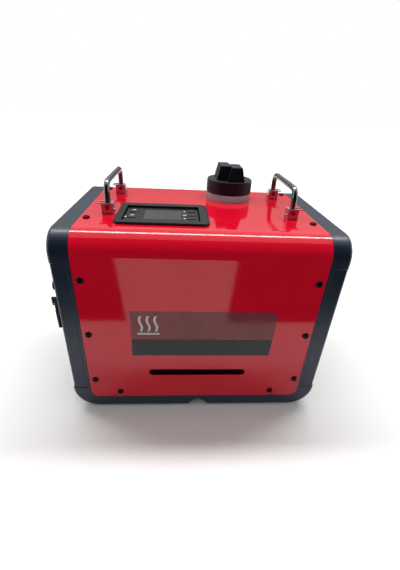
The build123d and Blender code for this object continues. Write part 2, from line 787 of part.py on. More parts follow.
with BuildPart() as controller_housing:
    rounded_bar(housing_width, housing_depth, 2.5,
                Plane((recess_x, recess_y, face_z - housing_height)), housing_height)
    rounded_bar(housing_width - 2 * housing_wall, housing_depth - 2 * housing_wall, 1.0,
                Plane((recess_x, recess_y, face_z - housing_height - 1)),
                housing_height + 1 - housing_wall, Mode.SUBTRACT)
    for side in (-1, 1):
        near = recess_x + side * (housing_width / 2 - 1)
        far = recess_x + side * (recess_width / 2 - seat)
        tab_width, tab_height = housing_tab
        tab_low = case_height - skirt_depth + 2
        block((min(near, far), recess_y - tab_width / 2, tab_low),
              (max(near, far), recess_y + tab_width / 2, tab_low + tab_height))
    post_x = lcd_width / 2 + post_radius + 4 * fit
    for x in (lcd_x - post_x, lcd_x + post_x):
        for y in (recess_y - housing_depth / 2 + post_inset, recess_y + housing_depth / 2 - post_inset):
            rod((x, y, board_top), (0, 0, 1), post_radius, face_z - housing_wall / 2 - board_top)
    with BuildSketch(Plane.XY.offset(face_z + 1)):
        with Locations((lcd_x, lcd_y)):
            Rectangle(lcd_width + 2 * seat, lcd_depth + 2 * seat)
    extrude(amount=-lcd_thick - seat - 1, mode=Mode.SUBTRACT)
    with BuildSketch(Plane.XY.offset(face_z + 1)):
        with Locations((lcd_x, lcd_y)):
            Rectangle(lcd_width - 2 * lcd_rebate, lcd_depth - 2 * lcd_rebate)
        with Locations(*key_places):
            RectangleRounded(key_width + 2 * fit, key_depth + 2 * fit, key_corner + fit)
    extrude(amount=-housing_wall - 1.5, mode=Mode.SUBTRACT)
save(controller_housing.part, "controller_housing")

with BuildPart() as lcd_window:
    rounded_bar(lcd_width, lcd_depth, 1.0, Plane((lcd_x, lcd_y, face_z - lcd_thick)), lcd_thick)
save(lcd_window.part, "lcd_window")

with BuildPart() as display_board:
    board_margin = housing_wall + fit
    rounded_bar(housing_width - 2 * board_margin, housing_depth - 2 * board_margin, 1.5,
                Plane((recess_x, recess_y, board_top - board_thick)), board_thick)
save(display_board.part, "display_board")

key_names = ["power_key", "mode_key", "up_key", "set_key", "down_key"]
for key_name, (x, y) in zip(key_names, key_places):
    with BuildPart() as key:
        key_bottom = face_z - housing_wall - fit - key_flange_thick
        rounded_bar(key_width, key_depth, key_corner, Plane((x, y, key_bottom)),
                    face_z + key_proud - key_bottom)
        fillet(key.edges().group_by(Axis.Z)[-1], 0.4)
        rounded_bar(key_width + 2 * key_flange, key_depth + 2 * key_flange, key_corner,
                    Plane((x, y, key_bottom)), key_flange_thick)
    save(key.part, key_name)

# ---------------------------------------------------------------- fuel tank, neck and cap
neck_low = tank_top
collar_top = case_height + neck_collar_top
neck_top = collar_top + neck_thread_height
cap_bottom = collar_top + fit
gasket_z = neck_top + fit
cap_inner_top = gasket_z + gasket_thick + seat
cap_face = cap_inner_top + cap_top

with BuildPart() as fuel_tank:
    with Locations((0, tank_y, tank_bottom + tank_height / 2)):
        Box(tank_length, tank_width, tank_height)
    fillet(fuel_tank.edges(), tank_corner)
    with Locations((0, tank_y, tank_bottom + tank_height / 2)):
        inside = Box(tank_length - 2 * tank_wall, tank_width - 2 * tank_wall,
                     tank_height - 2 * tank_wall, mode=Mode.PRIVATE)
    add(inside.fillet(tank_corner - tank_wall, inside.edges()), mode=Mode.SUBTRACT)
    rod((neck_x, neck_y, tank_top + 1), (0, 0, -1), neck_bore, tank_wall + 2, Mode.SUBTRACT)
    rod((outlet_x, tank_y, tank_bottom), (0, 0, -1), nipple_radius, nipple_length)
    rod((outlet_x, tank_y, tank_bottom + 2 * tank_wall), (0, 0, -1), nipple_bore,
        nipple_length + 3 * tank_wall, Mode.SUBTRACT)
save(fuel_tank.part, "fuel_tank")

with BuildPart() as filler_neck:
    rod((neck_x, neck_y, neck_low), (0, 0, 1), neck_flange_radius, neck_flange)
    rod((neck_x, neck_y, neck_low), (0, 0, 1), neck_tube, neck_top - neck_low)
    rod((neck_x, neck_y, case_height - neck_collar_drop), (0, 0, 1), neck_collar_radius,
        neck_collar_drop + neck_collar_top)
    rod((neck_x, neck_y, collar_top), (0, 0, 1), neck_thread_radius, neck_thread_height)
    rod((neck_x, neck_y, neck_low - 1), (0, 0, 1), neck_bore, neck_top - neck_low + 2, Mode.SUBTRACT)
save(filler_neck.part, "filler_neck")

with BuildPart() as cap_gasket:
    with BuildSketch(Plane.XY.offset(gasket_z)):
        with Locations((neck_x, neck_y)):
            Circle(cap_radius - cap_wall - fit)
            Circle(neck_bore, mode=Mode.SUBTRACT)
    extrude(amount=gasket_thick)
save(cap_gasket.part, "cap_gasket")


def grip_block(low, high):
    """One half of the stepped grip: a block whose long sides lean in towards the top."""
    middle = (neck_x + (low[0] + high[0]) / 2, neck_y + (low[1] + high[1]) / 2)
    size = (high[0] - low[0], high[1] - low[1])
    with BuildSketch(Plane.XY.offset(cap_face - 0.5)) as bottom:
        with Locations(middle):
            Rectangle(*size)
    with BuildSketch(Plane.XY.offset(cap_face + grip_height)) as top:
        with Locations(middle):
            Rectangle(size[0] - 2 * grip_draft, size[1] - grip_draft)
    loft([bottom.sketch, top.sketch])


with BuildPart() as fuel_cap:
    rod((neck_x, neck_y, cap_bottom), (0, 0, 1), cap_radius, cap_face - cap_bottom)
    fillet(fuel_cap.edges().group_by(Axis.Z)[-1], cap_edge)
    rod((neck_x, neck_y, cap_bottom - 1), (0, 0, 1), cap_radius - cap_wall,
        cap_inner_top - cap_bottom + 1, Mode.SUBTRACT)
    grip_block(*grip_low)
    grip_block(*grip_high)
save(fuel_cap.part, "fuel_cap")

with BuildPart() as tank_shelf:
    shelf_half = tank_length / 2 - shelf_inset
    shelf_front = tank_y - tank_width / 2 - shelf_thick - fit
    shelf_back = tank_y + tank_width / 2 + fit + shelf_thick
    block((-shelf_half, shelf_front, tank_bottom - shelf_thick), (shelf_half, shelf_back, tank_bottom))
    block((-shelf_half, shelf_front, tank_bottom - shelf_thick),
          (shelf_half, shelf_front + shelf_thick, tank_bottom + shelf_lip))
    block((-shelf_half, shelf_back - shelf_thick, tank_bottom - shelf_thick),
          (shelf_half, shelf_back, tank_bottom + shelf_lip))
    for side in (-1, 1):
        leg_in, leg_out = side * (shelf_half - shelf_thick), side * shelf_half
        foot_tip = side * (shelf_half + shelf_foot)
        block((min(leg_in, leg_out), shelf_front, floor_top), (max(leg_in, leg_out), shelf_back, tank_bottom))
        block((min(leg_in, foot_tip), shelf_front, floor_top),
              (max(leg_in, foot_tip), shelf_back, floor_top + shelf_thick))
    rod((outlet_x, tank_y, tank_bottom + 1), (0, 0, -1), hose_radius + 2, shelf_thick + 2, Mode.SUBTRACT)
save(tank_shelf.part, "tank_shelf")

# ---------------------------------------------------------------- fuel line under the tank
filter_left = outlet_x + hose_bend + hose_grip + 1
filter_right = filter_left + filter_length
pump_left = filter_right + hose_link
pump_right = pump_left + pump_length
burner_pipe_x = (air_box_left + air_box_right) / 2


def fuel_hose(points, radii):
    """A rubber hose along straight runs joined by arcs."""
    with BuildLine() as route:
        if radii:
            FilletPolyline(*points, radius=radii)
        else:
            Line(*points)
    start = Plane(origin=points[0], z_dir=(Vector(*points[1]) - Vector(*points[0])))
    with BuildSketch(start) as section:
        Circle(hose_radius)
        Circle(nipple_radius + seat, mode=Mode.SUBTRACT)
    sweep(section.sketch, path=route.line)


with BuildPart() as fuel_filter:
    rod((filter_left, tank_y, line_z), (1, 0, 0), filter_radius, filter_length)
    fillet(fuel_filter.edges(), filter_edge)
    rod((filter_left - hose_grip, tank_y, line_z), (1, 0, 0), nipple_radius,
        filter_length + 2 * hose_grip)
save(fuel_filter.part, "fuel_filter")

with BuildPart() as fuel_pump:
    rod((pump_left, tank_y, line_z), (1, 0, 0), pump_radius, pump_length)
    fillet(fuel_pump.edges(), pump_edge)
    rod((pump_left - hose_grip, tank_y, line_z), (1, 0, 0), nipple_radius, pump_length + 2 * hose_grip)
save(fuel_pump.part, "fuel_pump")

with BuildPart() as pump_clip:
    clip_x = (pump_left + pump_right) / 2
    rod((clip_x - clip_width / 2, tank_y, line_z), (1, 0, 0), pump_radius + clip_wall, clip_width)
    block((clip_x - clip_width / 2, tank_y - pump_radius, floor_top),
          (clip_x + clip_width / 2, tank_y + pump_radius, line_z))
    rod((clip_x - clip_width, tank_y, line_z), (1, 0, 0), pump_radius + seat, 2 * clip_width, Mode.SUBTRACT)
save(pump_clip.part, "pump_clip")

with BuildPart() as tank_hose:
    fuel_hose(
        [(outlet_x, tank_y, tank_bottom - nipple_length + hose_grip), (outlet_x, tank_y, line_z),
         (filter_left - fit, tank_y, line_z)],
        [hose_bend],
    )
save(tank_hose.part, "tank_hose")

with BuildPart() as filter_hose:
    fuel_hose([(filter_right + fit, tank_y, line_z), (pump_left - fit, tank_y, line_z)], [])
save(filter_hose.part, "filter_hose")

with BuildPart() as pump_hose:
    fuel_hose(
        [(pump_right + fit, tank_y, line_z), (burner_pipe_x, tank_y, line_z),
         (burner_pipe_x, shell_back + fit, line_z)],
        [hose_bend],
    )
save(pump_hose.part, "pump_hose")


# ---------------------------------------------------------------- heater unit
def heater_shell():
    """Both halves of the moulded duct round the heat exchanger, with the warm-air snout."""
    shell_plane = Plane(origin=(shell_left, heater_y, heater_z), x_dir=(0, 1, 0), z_dir=(1, 0, 0))
    rounded_bar(shell_width, shell_height, shell_corner, shell_plane, shell_length)
    snout_radius = collar_radius - collar_wall - fit
    rod((shell_left, heater_y, heater_z), (-1, 0, 0), snout_radius, duct_space / 2)
    rounded_bar(shell_width - 2 * shell_wall, shell_height - 2 * shell_wall, shell_corner - shell_wall,
                shell_plane.offset(shell_wall), shell_length - 2 * shell_wall, Mode.SUBTRACT)
    rod((shell_left + 2 * shell_wall, heater_y, heater_z), (-1, 0, 0), snout_radius - shell_wall,
        duct_space, Mode.SUBTRACT)
    rod((shell_left + shell_length + 1, heater_y, heater_z), (-1, 0, 0), inlet_radius, 2 * shell_wall,
        Mode.SUBTRACT)
    for x in (exhaust_x, intake_x):
        rod((x, heater_y, heater_z), (0, 0, -1), intake_radius + stub_boss_wall + fit,
            shell_height, Mode.SUBTRACT)
    rod((burner_pipe_x, heater_y, line_z), (0, 1, 0), nipple_radius + fit, shell_width, Mode.SUBTRACT)


with BuildPart() as heater_lower_shell:
    heater_shell()
    split(bisect_by=Plane.XY.offset(heater_z), keep=Keep.BOTTOM)
    for x in (shell_left + rest_inset, shell_left + shell_length - rest_inset):
        block((x - rest_length / 2, heater_y - rest_width / 2, floor_top),
              (x + rest_length / 2, heater_y + rest_width / 2, heater_z - shell_height / 2))
save(heater_lower_shell.part, "heater_lower_shell")

motor_board_x = (air_box_right + motor_right) / 2
control_board_z = heater_z + shell_height / 2 - shell_wall - control_drop
with BuildPart() as heater_upper_shell:
    heater_shell()
    split(bisect_by=Plane.XY.offset(heater_z + seam), keep=Keep.TOP)
    for x in (motor_board_x - control_post[0], motor_board_x + control_post[0]):
        for y in (heater_y - control_post[1], heater_y + control_post[1]):
            rod((x, y, control_board_z + board_thick), (0, 0, 1), post_radius,
                heater_z + shell_height / 2 - shell_wall / 2 - control_board_z - board_thick)
save(heater_upper_shell.part, "heater_upper_shell")

with BuildPart() as control_board:
    block((motor_board_x - control_width / 2, heater_y - control_length / 2, control_board_z),
          (motor_board_x + control_width / 2, heater_y + control_length / 2, control_board_z + board_thick))
    for y in chip_places:
        with Locations((motor_board_x, heater_y + y, control_board_z)):
            Box(*chip_size, align=(Align.CENTER, Align.CENTER, Align.MAX))
save(control_board.part, "control_board")

exhaust_top = heater_z - exchanger_radius + exchanger_wall
shell_floor = heater_z - shell_height / 2 + shell_wall
flange_half_y = shell_width / 2 - shell_wall - fit
flange_half_z = shell_height / 2 - shell_wall - fit
with BuildPart() as heat_exchanger:
    rod((exchanger_left, heater_y, heater_z), (1, 0, 0), exchanger_radius, exchanger_length)
    for index in range(fin_count):
        angle = 360 * (index + 0.5) / fin_count
        with Locations(Location((exchanger_left + exchanger_length / 2, heater_y, heater_z), (angle, 0, 0))):
            with Locations((0, 0, (fin_radius + exchanger_radius) / 2 - 1)):
                Box(exchanger_length - 10, fin_thick, fin_radius - exchanger_radius + 2)
    flange_plane = Plane(origin=(flange_left, heater_y, heater_z), x_dir=(0, 1, 0), z_dir=(1, 0, 0))
    rounded_bar(2 * flange_half_y, 2 * flange_half_z, shell_corner - shell_wall, flange_plane, plate_thick)
    rod((exhaust_x, heater_y, exhaust_top), (0, 0, -1), exhaust_radius + stub_boss_wall,
        exhaust_top - shell_floor)
    rod((exchanger_left + exchanger_wall, heater_y, heater_z), (1, 0, 0), exchanger_radius - exchanger_wall,
        exchanger_length + plate_thick, Mode.SUBTRACT)
    rod((exhaust_x, heater_y, heater_z), (0, 0, -1), exhaust_radius + pin_clearance,
        shell_height, Mode.SUBTRACT)
    plug_x = flange_left - plug_back
    boss_low = heater_z + exchanger_radius - exchanger_wall / 2
    boss_top = heater_z + exchanger_radius + plug_boss
    rod((plug_x, heater_y, boss_low), (0, 0, 1), plug_radius + plug_boss_wall, boss_top - boss_low)
    rod((plug_x, heater_y, boss_top + 1), (0, 0, -1), plug_radius + pin_clearance,
        plug_boss + 2 * exchanger_wall, Mode.SUBTRACT)
save(heat_exchanger.part, "heat_exchanger")

with BuildPart() as burner_tube:
    rod((flange_right, heater_y, heater_z), (-1, 0, 0), burner_radius, burner_length)
    rod((flange_right, heater_y, heater_z), (-1, 0, 0), exchanger_radius - exchanger_wall - fit,
        burner_flange)
    rod((flange_right + 1, heater_y, heater_z), (-1, 0, 0), burner_radius - burner_wall,
        burner_length - burner_wall + 1, Mode.SUBTRACT)
save(burner_tube.part, "burner_tube")

with BuildPart() as glow_plug:
    plug_low = heater_z + burner_radius + fit
    rod((plug_x, heater_y, plug_low), (0, 0, 1), plug_radius, boss_top - plug_low)
    with BuildSketch(Plane((plug_x, heater_y, boss_top))):
        RegularPolygon(plug_flats / sqrt(3), 6)
    extrude(amount=plug_hex)
    rod((plug_x, heater_y, boss_top + plug_hex), (0, 0, 1), plug_tip, plug_hex)
save(glow_plug.part, "glow_plug")



def pipe_stub(x, radius, top):
    """A tube that hangs below the floor, with a bead where a pushed-on pipe stops."""
    rod((x, heater_y, stub_end), (0, 0, 1), radius, top - stub_end)
    rod((x, heater_y, floor_under - stub_bead), (0, 0, 1), radius + stub_bead, stub_bead)
    rod((x, heater_y, stub_end - 1), (0, 0, 1), radius - stub_wall, top - stub_end + 2, Mode.SUBTRACT)


with BuildPart() as exhaust_stub:
    pipe_stub(exhaust_x, exhaust_radius, exhaust_top - exchanger_wall / 2)
save(exhaust_stub.part, "exhaust_stub")

intake_top = heater_z - chamber_radius
with BuildPart() as combustion_air_box:
    box_plane = Plane(origin=(air_box_left, heater_y, heater_z), x_dir=(0, 1, 0), z_dir=(1, 0, 0))
    rounded_bar(2 * flange_half_y, 2 * flange_half_z, shell_corner - shell_wall, box_plane, plate_thick)
    rod((air_box_left, heater_y, heater_z), (1, 0, 0), air_box_radius, air_box_length)
    rod((intake_x, heater_y, heater_z - chamber_radius), (0, 0, -1), intake_radius + stub_boss_wall,
        heater_z - chamber_radius - shell_floor)
    rod((air_box_left + chamber_wall, heater_y, heater_z), (1, 0, 0), chamber_radius,
        air_box_length - 2 * chamber_wall, Mode.SUBTRACT)
    rod((air_box_left - 1, heater_y, heater_z), (1, 0, 0), chamber_radius / 2, chamber_wall + 2,
        Mode.SUBTRACT)
    rod((air_box_right + 1, heater_y, heater_z), (-1, 0, 0), shaft_radius + 1, chamber_wall + 2,
        Mode.SUBTRACT)
    rod((intake_x, heater_y, heater_z - chamber_radius + 4), (0, 0, -1), intake_radius + pin_clearance,
        shell_height, Mode.SUBTRACT)
    pipe_start = heater_y + chamber_radius + pipe_shy
    rod((burner_pipe_x, pipe_start, line_z), (0, 1, 0), nipple_radius,
        shell_back + hose_grip - pipe_start)
save(combustion_air_box.part, "combustion_air_box")

with BuildPart() as intake_stub:
    pipe_stub(intake_x, intake_radius, intake_top)
save(intake_stub.part, "intake_stub")

with BuildPart() as blower_motor:
    rod((air_box_right, heater_y, heater_z), (1, 0, 0), motor_radius, motor_length)
    fillet(blower_motor.edges().group_by(Axis.X)[-1], motor_edge)
    rod((air_box_right - 1, heater_y, heater_z), (1, 0, 0), shaft_radius + pin_clearance,
        motor_length + 2, Mode.SUBTRACT)
save(blower_motor.part, "blower_motor")

shaft_left = air_box_left + chamber_wall + 2
with BuildPart() as blower_shaft:
    rod((shaft_left, heater_y, heater_z), (1, 0, 0), shaft_radius, fan_left + fan_width + 1 - shaft_left)
save(blower_shaft.part, "blower_shaft")


def fan_plane(x):
    return Plane(origin=(x, heater_y, heater_z), x_dir=(0, 1, 0), z_dir=(1, 0, 0))


with BuildPart(fan_plane(fan_left + fan_width / 2)) as air_fan:
    Cylinder(fan_hub_radius, fan_width)
    with PolarLocations(0, fan_blades):
        Box(fan_radius, fan_width - 1, blade_sheet, rotation=(fan_pitch, 0, 0),
            align=(Align.MIN, Align.CENTER, Align.CENTER))
    Cylinder(shaft_radius + press, 3 * fan_width, mode=Mode.SUBTRACT)
save(air_fan.part, "air_fan")

wheel_x = shaft_left + fit
with BuildPart(fan_plane(wheel_x)) as combustion_fan:
    Cylinder(wheel_radius, wheel_disc, align=(Align.CENTER, Align.CENTER, Align.MIN))
    Cylinder(shaft_radius + 4, wheel_width, align=(Align.CENTER, Align.CENTER, Align.MIN))
    with PolarLocations(wheel_radius - wheel_blade[0] / 2 - 1, wheel_blades):
        Box(*wheel_blade, wheel_width, align=(Align.CENTER, Align.CENTER, Align.MIN))
    Cylinder(shaft_radius + press, 3 * wheel_width, mode=Mode.SUBTRACT)
save(combustion_fan.part, "combustion_fan")

# ---------------------------------------------------------------- warm-air outlet
collar_bore = collar_radius - collar_wall
ring_radius = collar_bore - fit
ring_bore = ring_radius - ring_wall

with BuildPart() as outlet_collar:
    rod((collar_end, heater_y, heater_z), (1, 0, 0), collar_radius, collar_proud + collar_depth)
    rod((-cover_face - collar_flange, heater_y, heater_z), (1, 0, 0), collar_flange_radius, collar_flange)
    fillet(outlet_collar.edges().filter_by(GeomType.CIRCLE).sort_by(SortBy.RADIUS)[-1], 1.0)
    rod((collar_end - 1, heater_y, heater_z), (1, 0, 0), collar_bore,
        collar_proud + collar_depth + 2, Mode.SUBTRACT)
save(outlet_collar.part, "outlet_collar")

blade_heights = [heater_z + blade_pitch * (i - (blade_count - 1) / 2) for i in range(blade_count)]
with BuildPart() as louvre_ring:
    rod((collar_end + ring_drop, heater_y, heater_z), (1, 0, 0), ring_radius, ring_depth)
    rod((collar_end, heater_y, heater_z), (1, 0, 0), ring_bore, ring_depth + 2, Mode.SUBTRACT)
    for z in blade_heights:
        rod((blade_x, heater_y - collar_radius, z), (0, 1, 0), blade_pin_radius + pin_clearance,
            2 * collar_radius, Mode.SUBTRACT)
save(louvre_ring.part, "louvre_ring")

for index, z in enumerate(blade_heights):
    rise = abs(z - heater_z) + blade_chord / 2 * sin(radians(blade_swing)) + blade_thick
    half_span = sqrt(ring_bore**2 - rise**2) - fit
    pin_half = sqrt(ring_radius**2 - (abs(z - heater_z) + blade_pin_radius) ** 2) - fit
    with BuildPart() as louvre_blade:
        block((blade_x - blade_chord / 2, heater_y - half_span, z - blade_thick / 2),
              (blade_x + blade_chord / 2, heater_y + half_span, z + blade_thick / 2))
        rod((blade_x, heater_y - pin_half, z), (0, 1, 0), blade_pin_radius, 2 * pin_half)
    save(louvre_blade.part, f"louvre_blade_{index + 1}")

# ---------------------------------------------------------------- power inlet and its lid
side_x = -cover_face
socket_end = side_x - socket_proud
hinge_x = side_x - hinge_proud
hinge_z = inlet_z - hinge_drop
barrel_width = inlet_width - 2 * ear_width - 2 * fit

with BuildPart() as power_inlet:
    inlet_plane = Plane(origin=(side_x - seat, inlet_y, inlet_z), x_dir=(0, 1, 0), z_dir=(-1, 0, 0))
    rounded_bar(inlet_width, inlet_height, inlet_corner, inlet_plane, plate_proud - seat)
    fillet(power_inlet.edges().group_by(Axis.X)[0], inlet_edge)
    body_y = inlet_width / 2 - body_inset[0] - fit
    body_z = inlet_height / 2 - body_inset[1] - fit
    block((side_x - 1, inlet_y - body_y, inlet_z - body_z),
          (side_x + wall + body_depth, inlet_y + body_y, inlet_z + body_z))
    rod((socket_end, inlet_y, inlet_z), (1, 0, 0), socket_radius, socket_proud)
    for y in (inlet_y - inlet_width / 2, inlet_y + inlet_width / 2 - ear_width):
        block((hinge_x - lid_barrel, y, hinge_z - lid_barrel),
              (side_x - plate_proud / 2, y + ear_width, inlet_z - inlet_height / 2 + ear_reach))
    rod((socket_end - 1, inlet_y, inlet_z), (1, 0, 0), socket_bore, socket_depth + 1, Mode.SUBTRACT)
    for shift in (-contact_shift, contact_shift):
        rod((socket_end + socket_depth, inlet_y + shift, inlet_z), (-1, 0, 0), contact_radius,
            contact_length)
    rod((hinge_x, inlet_y - inlet_width, hinge_z), (0, 1, 0), lid_pin_radius + seat / 2,
        2 * inlet_width, Mode.SUBTRACT)
save(power_inlet.part, "power_inlet")

# the lid hangs open from its hinge, with the side that seals the socket facing outwards
with BuildPart() as inlet_lid:
    lid_plane = Plane(origin=(hinge_x + lid_thick / 2, inlet_y, hinge_z - lid_length / 2),
                      x_dir=(0, -1, 0), z_dir=(-1, 0, 0))
    with BuildSketch(lid_plane):
        with Locations((0, -lid_neck / 2)):
            lid_shape = Rectangle(lid_width, lid_length - lid_neck)
        fillet(lid_shape.vertices().group_by(Axis.Y)[0], lid_corner)
        with Locations((0, lid_neck / 2)):
            Rectangle(barrel_width, lid_length - lid_neck)
    extrude(amount=lid_thick)
    rim_start = (hinge_x - lid_thick / 2 + 1, inlet_y, hinge_z - hinge_drop)
    rod(rim_start, (-1, 0, 0), socket_bore - fit, 1 + lid_rim)
    rod((hinge_x - lid_thick / 2, inlet_y, hinge_z - hinge_drop), (-1, 0, 0),
        socket_bore - fit - lid_rim_wall, 2 * lid_rim, Mode.SUBTRACT)
    rod((hinge_x, inlet_y - barrel_width / 2, hinge_z), (0, 1, 0), lid_barrel, barrel_width)
    rod((hinge_x, inlet_y - barrel_width, hinge_z), (0, 1, 0), lid_pin_radius + pin_clearance,
        2 * barrel_width, Mode.SUBTRACT)
save(inlet_lid.part, "inlet_lid")

with BuildPart() as lid_pin:
    rod((hinge_x, inlet_y - inlet_width / 2, hinge_z), (0, 1, 0), lid_pin_radius, inlet_width)
save(lid_pin.part, "lid_pin")
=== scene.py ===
"""Looks of a boxed diesel air heater, laid out as a Blender add-on and run as a script."""
from math import cos, pi, radians, sin

import bmesh
import bpy
from bpy.props import FloatProperty, FloatVectorProperty, IntProperty, PointerProperty
from mathutils import Matrix, Vector


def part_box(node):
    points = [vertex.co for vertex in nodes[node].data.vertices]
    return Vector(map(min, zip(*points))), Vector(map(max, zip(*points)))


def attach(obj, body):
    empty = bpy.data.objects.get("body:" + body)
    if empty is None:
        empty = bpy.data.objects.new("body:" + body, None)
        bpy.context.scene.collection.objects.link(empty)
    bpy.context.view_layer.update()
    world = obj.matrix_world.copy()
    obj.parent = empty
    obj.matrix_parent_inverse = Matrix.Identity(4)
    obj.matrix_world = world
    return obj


bl_info = {
    "name": "Diesel air heater looks",
    "version": (1, 0, 0),
    "blender": (4, 5, 0),
    "location": "View3D > Sidebar > Heater",
    "description": "Finishes, printed parts and stage of a portable diesel air heater",
    "category": "Object",
}

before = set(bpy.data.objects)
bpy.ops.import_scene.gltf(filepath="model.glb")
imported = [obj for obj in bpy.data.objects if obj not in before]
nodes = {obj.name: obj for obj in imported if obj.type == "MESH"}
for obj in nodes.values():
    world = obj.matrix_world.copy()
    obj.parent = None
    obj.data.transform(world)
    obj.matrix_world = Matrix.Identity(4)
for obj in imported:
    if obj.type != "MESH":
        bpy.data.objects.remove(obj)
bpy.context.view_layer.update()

MM = 0.001
cover_low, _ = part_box("steel_cover")
_, housing_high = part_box("controller_housing")
cap_low, cap_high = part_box("fuel_cap")


# ---------------------------------------------------------------- colour and node helpers
def linear(colour):
    """Turns an sRGB hex colour such as "#E6102C" into linear red, green and blue."""
    parts = [int(colour[i:i + 2], 16) / 255 for i in (1, 3, 5)]
    return tuple(c / 12.92 if c <= 0.04045 else ((c + 0.055) / 1.055) ** 2.4 for c in parts)


def opaque(colour):
    """A linear colour with its alpha."""
    return (*colour[:3], 1.0)


def darker(colour, share):
    """A linear colour multiplied by share."""
    return tuple(c * share for c in colour[:3])


def add_node(tree, kind, settings=None, links=None):
    """Adds a node with its properties, input values and links."""
    node = tree.nodes.new(kind)
    for key, value in (settings or {}).items():
        if isinstance(key, int) or key in node.inputs:
            node.inputs[key].default_value = value
        else:
            setattr(node, key, value)
    for key, socket in (links or {}).items():
        tree.links.new(socket, node.inputs[key])
    return node


def new_material(name, colour, roughness, **sockets):
    """A named material with one Principled shader, and its Object coordinates."""
    material = bpy.data.materials.new(name)
    material.use_nodes = True
    material.diffuse_color = opaque(colour)
    tree = material.node_tree
    tree.nodes.clear()
    output = add_node(tree, "ShaderNodeOutputMaterial")
    shader = add_node(tree, "ShaderNodeBsdfPrincipled",
                      {"Base Color": opaque(colour), "Roughness": roughness, **sockets})
    tree.links.new(shader.outputs["BSDF"], output.inputs["Surface"])
    place = add_node(tree, "ShaderNodeTexCoord").outputs["Object"]
    return material, tree, shader, place


def noise(tree, place, size_mm, detail=2.0, roughness=0.5):
    """Noise whose lumps are about size_mm across."""
    settings = {"Scale": 1000 / size_mm, "Detail": detail, "Roughness": roughness}
    return add_node(tree, "ShaderNodeTexNoise", settings, {"Vector": place}).outputs["Fac"]


def spread(tree, value, low, high, start=0.3, end=0.7):
    """Maps start...end of a pattern to low...high."""
    settings = {"From Min": start, "From Max": end, "To Min": low, "To Max": high}
    return add_node(tree, "ShaderNodeMapRange", settings, {"Value": value}).outputs["Result"]


def blend_colours(tree, factor, first, second):
    """Goes from one colour to another as factor goes from 0 to 1."""
    settings = {"data_type": "RGBA", 6: opaque(first), 7: opaque(second)}
    return add_node(tree, "ShaderNodeMix", settings, {0: factor}).outputs[2]


def mottle(tree, shader, pattern, first, second, start=0.3, end=0.7):
    """Colours a surface from first to second as a pattern goes from start to end."""
    factor = spread(tree, pattern, 0.0, 1.0, start, end)
    tree.links.new(blend_colours(tree, factor, first, second), shader.inputs["Base Color"])


def vary_gloss(tree, shader, pattern, low, high):
    """Takes the roughness from low to high with a pattern."""
    tree.links.new(spread(tree, pattern, low, high), shader.inputs["Roughness"])


def roughen(tree, shader, height, depth_mm):
    """Bump of depth_mm from a height pattern."""
    bump = add_node(tree, "ShaderNodeBump", {"Strength": 1.0, "Distance": depth_mm * MM},
                    {"Height": height})
    tree.links.new(bump.outputs["Normal"], shader.inputs["Normal"])


def seen_directly(tree):
    """Is 1 for what shows to the camera, in gloss or through glass, and 0 for diffuse light."""
    path = add_node(tree, "ShaderNodeLightPath").outputs
    seen = path["Is Camera Ray"]
    for way in ("Is Glossy Ray", "Is Transmission Ray"):
        either = add_node(tree, "ShaderNodeMath", {"operation": "MAXIMUM"}, {0: seen, 1: path[way]})
        seen = either.outputs[0]
    return seen


# ---------------------------------------------------------------- finishes
def gloss_powder_coat(colour):
    """Gloss powder coat on sheet steel: deep even red, with a faint orange peel in reflections."""
    material, tree, shader, place = new_material("gloss_powder_coat", colour, 0.1, **{
        "Specular IOR Level": 0.5, "IOR": 1.5})
    mottle(tree, shader, noise(tree, place, size_mm=60.0, detail=3.0), colour, darker(colour, 0.93))
    dust = noise(tree, place, size_mm=9.0, detail=4.0, roughness=0.6)
    vary_gloss(tree, shader, dust, low=0.05, high=0.1)
    # peel is about 2 mm across on a real coat
    roughen(tree, shader, noise(tree, place, size_mm=2.2, detail=1.0), depth_mm=0.001)
    return material


def moulded_plastic(name, colour, roughness, grain_mm, grain_depth, sheen_mm=25.0, level=0.5):
    """Injection-moulded plastic: even colour under a painted sheen of broad darker patches, slightly
    uneven gloss and a fine eroded grain.
    """
    material, tree, shader, place = new_material(name, colour, roughness, **{
        "IOR": 1.5, "Specular IOR Level": level})
    # painted sheen: patches sheen_mm across where the colour is darker by up to a fifth
    mottle(tree, shader, noise(tree, place, sheen_mm, detail=3.0), colour, darker(colour, 0.82))
    patches = noise(tree, place, sheen_mm * 0.45, detail=4.0, roughness=0.6)
    vary_gloss(tree, shader, patches, low=roughness - 0.05, high=roughness + 0.06)
    # a real grain is near 0.1 mm, and is drawn coarser here so that it shows
    roughen(tree, shader, noise(tree, place, grain_mm, detail=2.0), grain_depth)
    return material


def plated_steel(name, colour, roughness, stain, stain_mm=14.0):
    """Plated steel: a clean bright metal with faint cloudy stains and hairline wear."""
    material, tree, shader, place = new_material(name, colour, roughness, Metallic=1.0)
    mottle(tree, shader, noise(tree, place, stain_mm, detail=4.0, roughness=0.6), colour, stain)
    stretched = add_node(tree, "ShaderNodeMapping", {"Scale": (1.0, 0.06, 1.0)},
                         {"Vector": place}).outputs["Vector"]
    hairs = noise(tree, stretched, size_mm=0.8, detail=2.0)
    vary_gloss(tree, shader, hairs, low=roughness, high=roughness * 1.6 + 0.02)
    roughen(tree, shader, hairs, depth_mm=0.004)
    return material


def heated_stainless(name, colour, blue):
    """Stainless steel that has been red hot: straw and blue tints in slow bands."""
    material, tree, shader, place = new_material(name, colour, 0.34, Metallic=1.0)
    bands = noise(tree, place, size_mm=45.0, detail=2.0)
    mottle(tree, shader, bands, colour, blue, start=0.42, end=0.62)
    grit = noise(tree, place, size_mm=0.9, detail=3.0)
    vary_gloss(tree, shader, grit, low=0.28, high=0.42)
    roughen(tree, shader, grit, depth_mm=0.01)
    return material


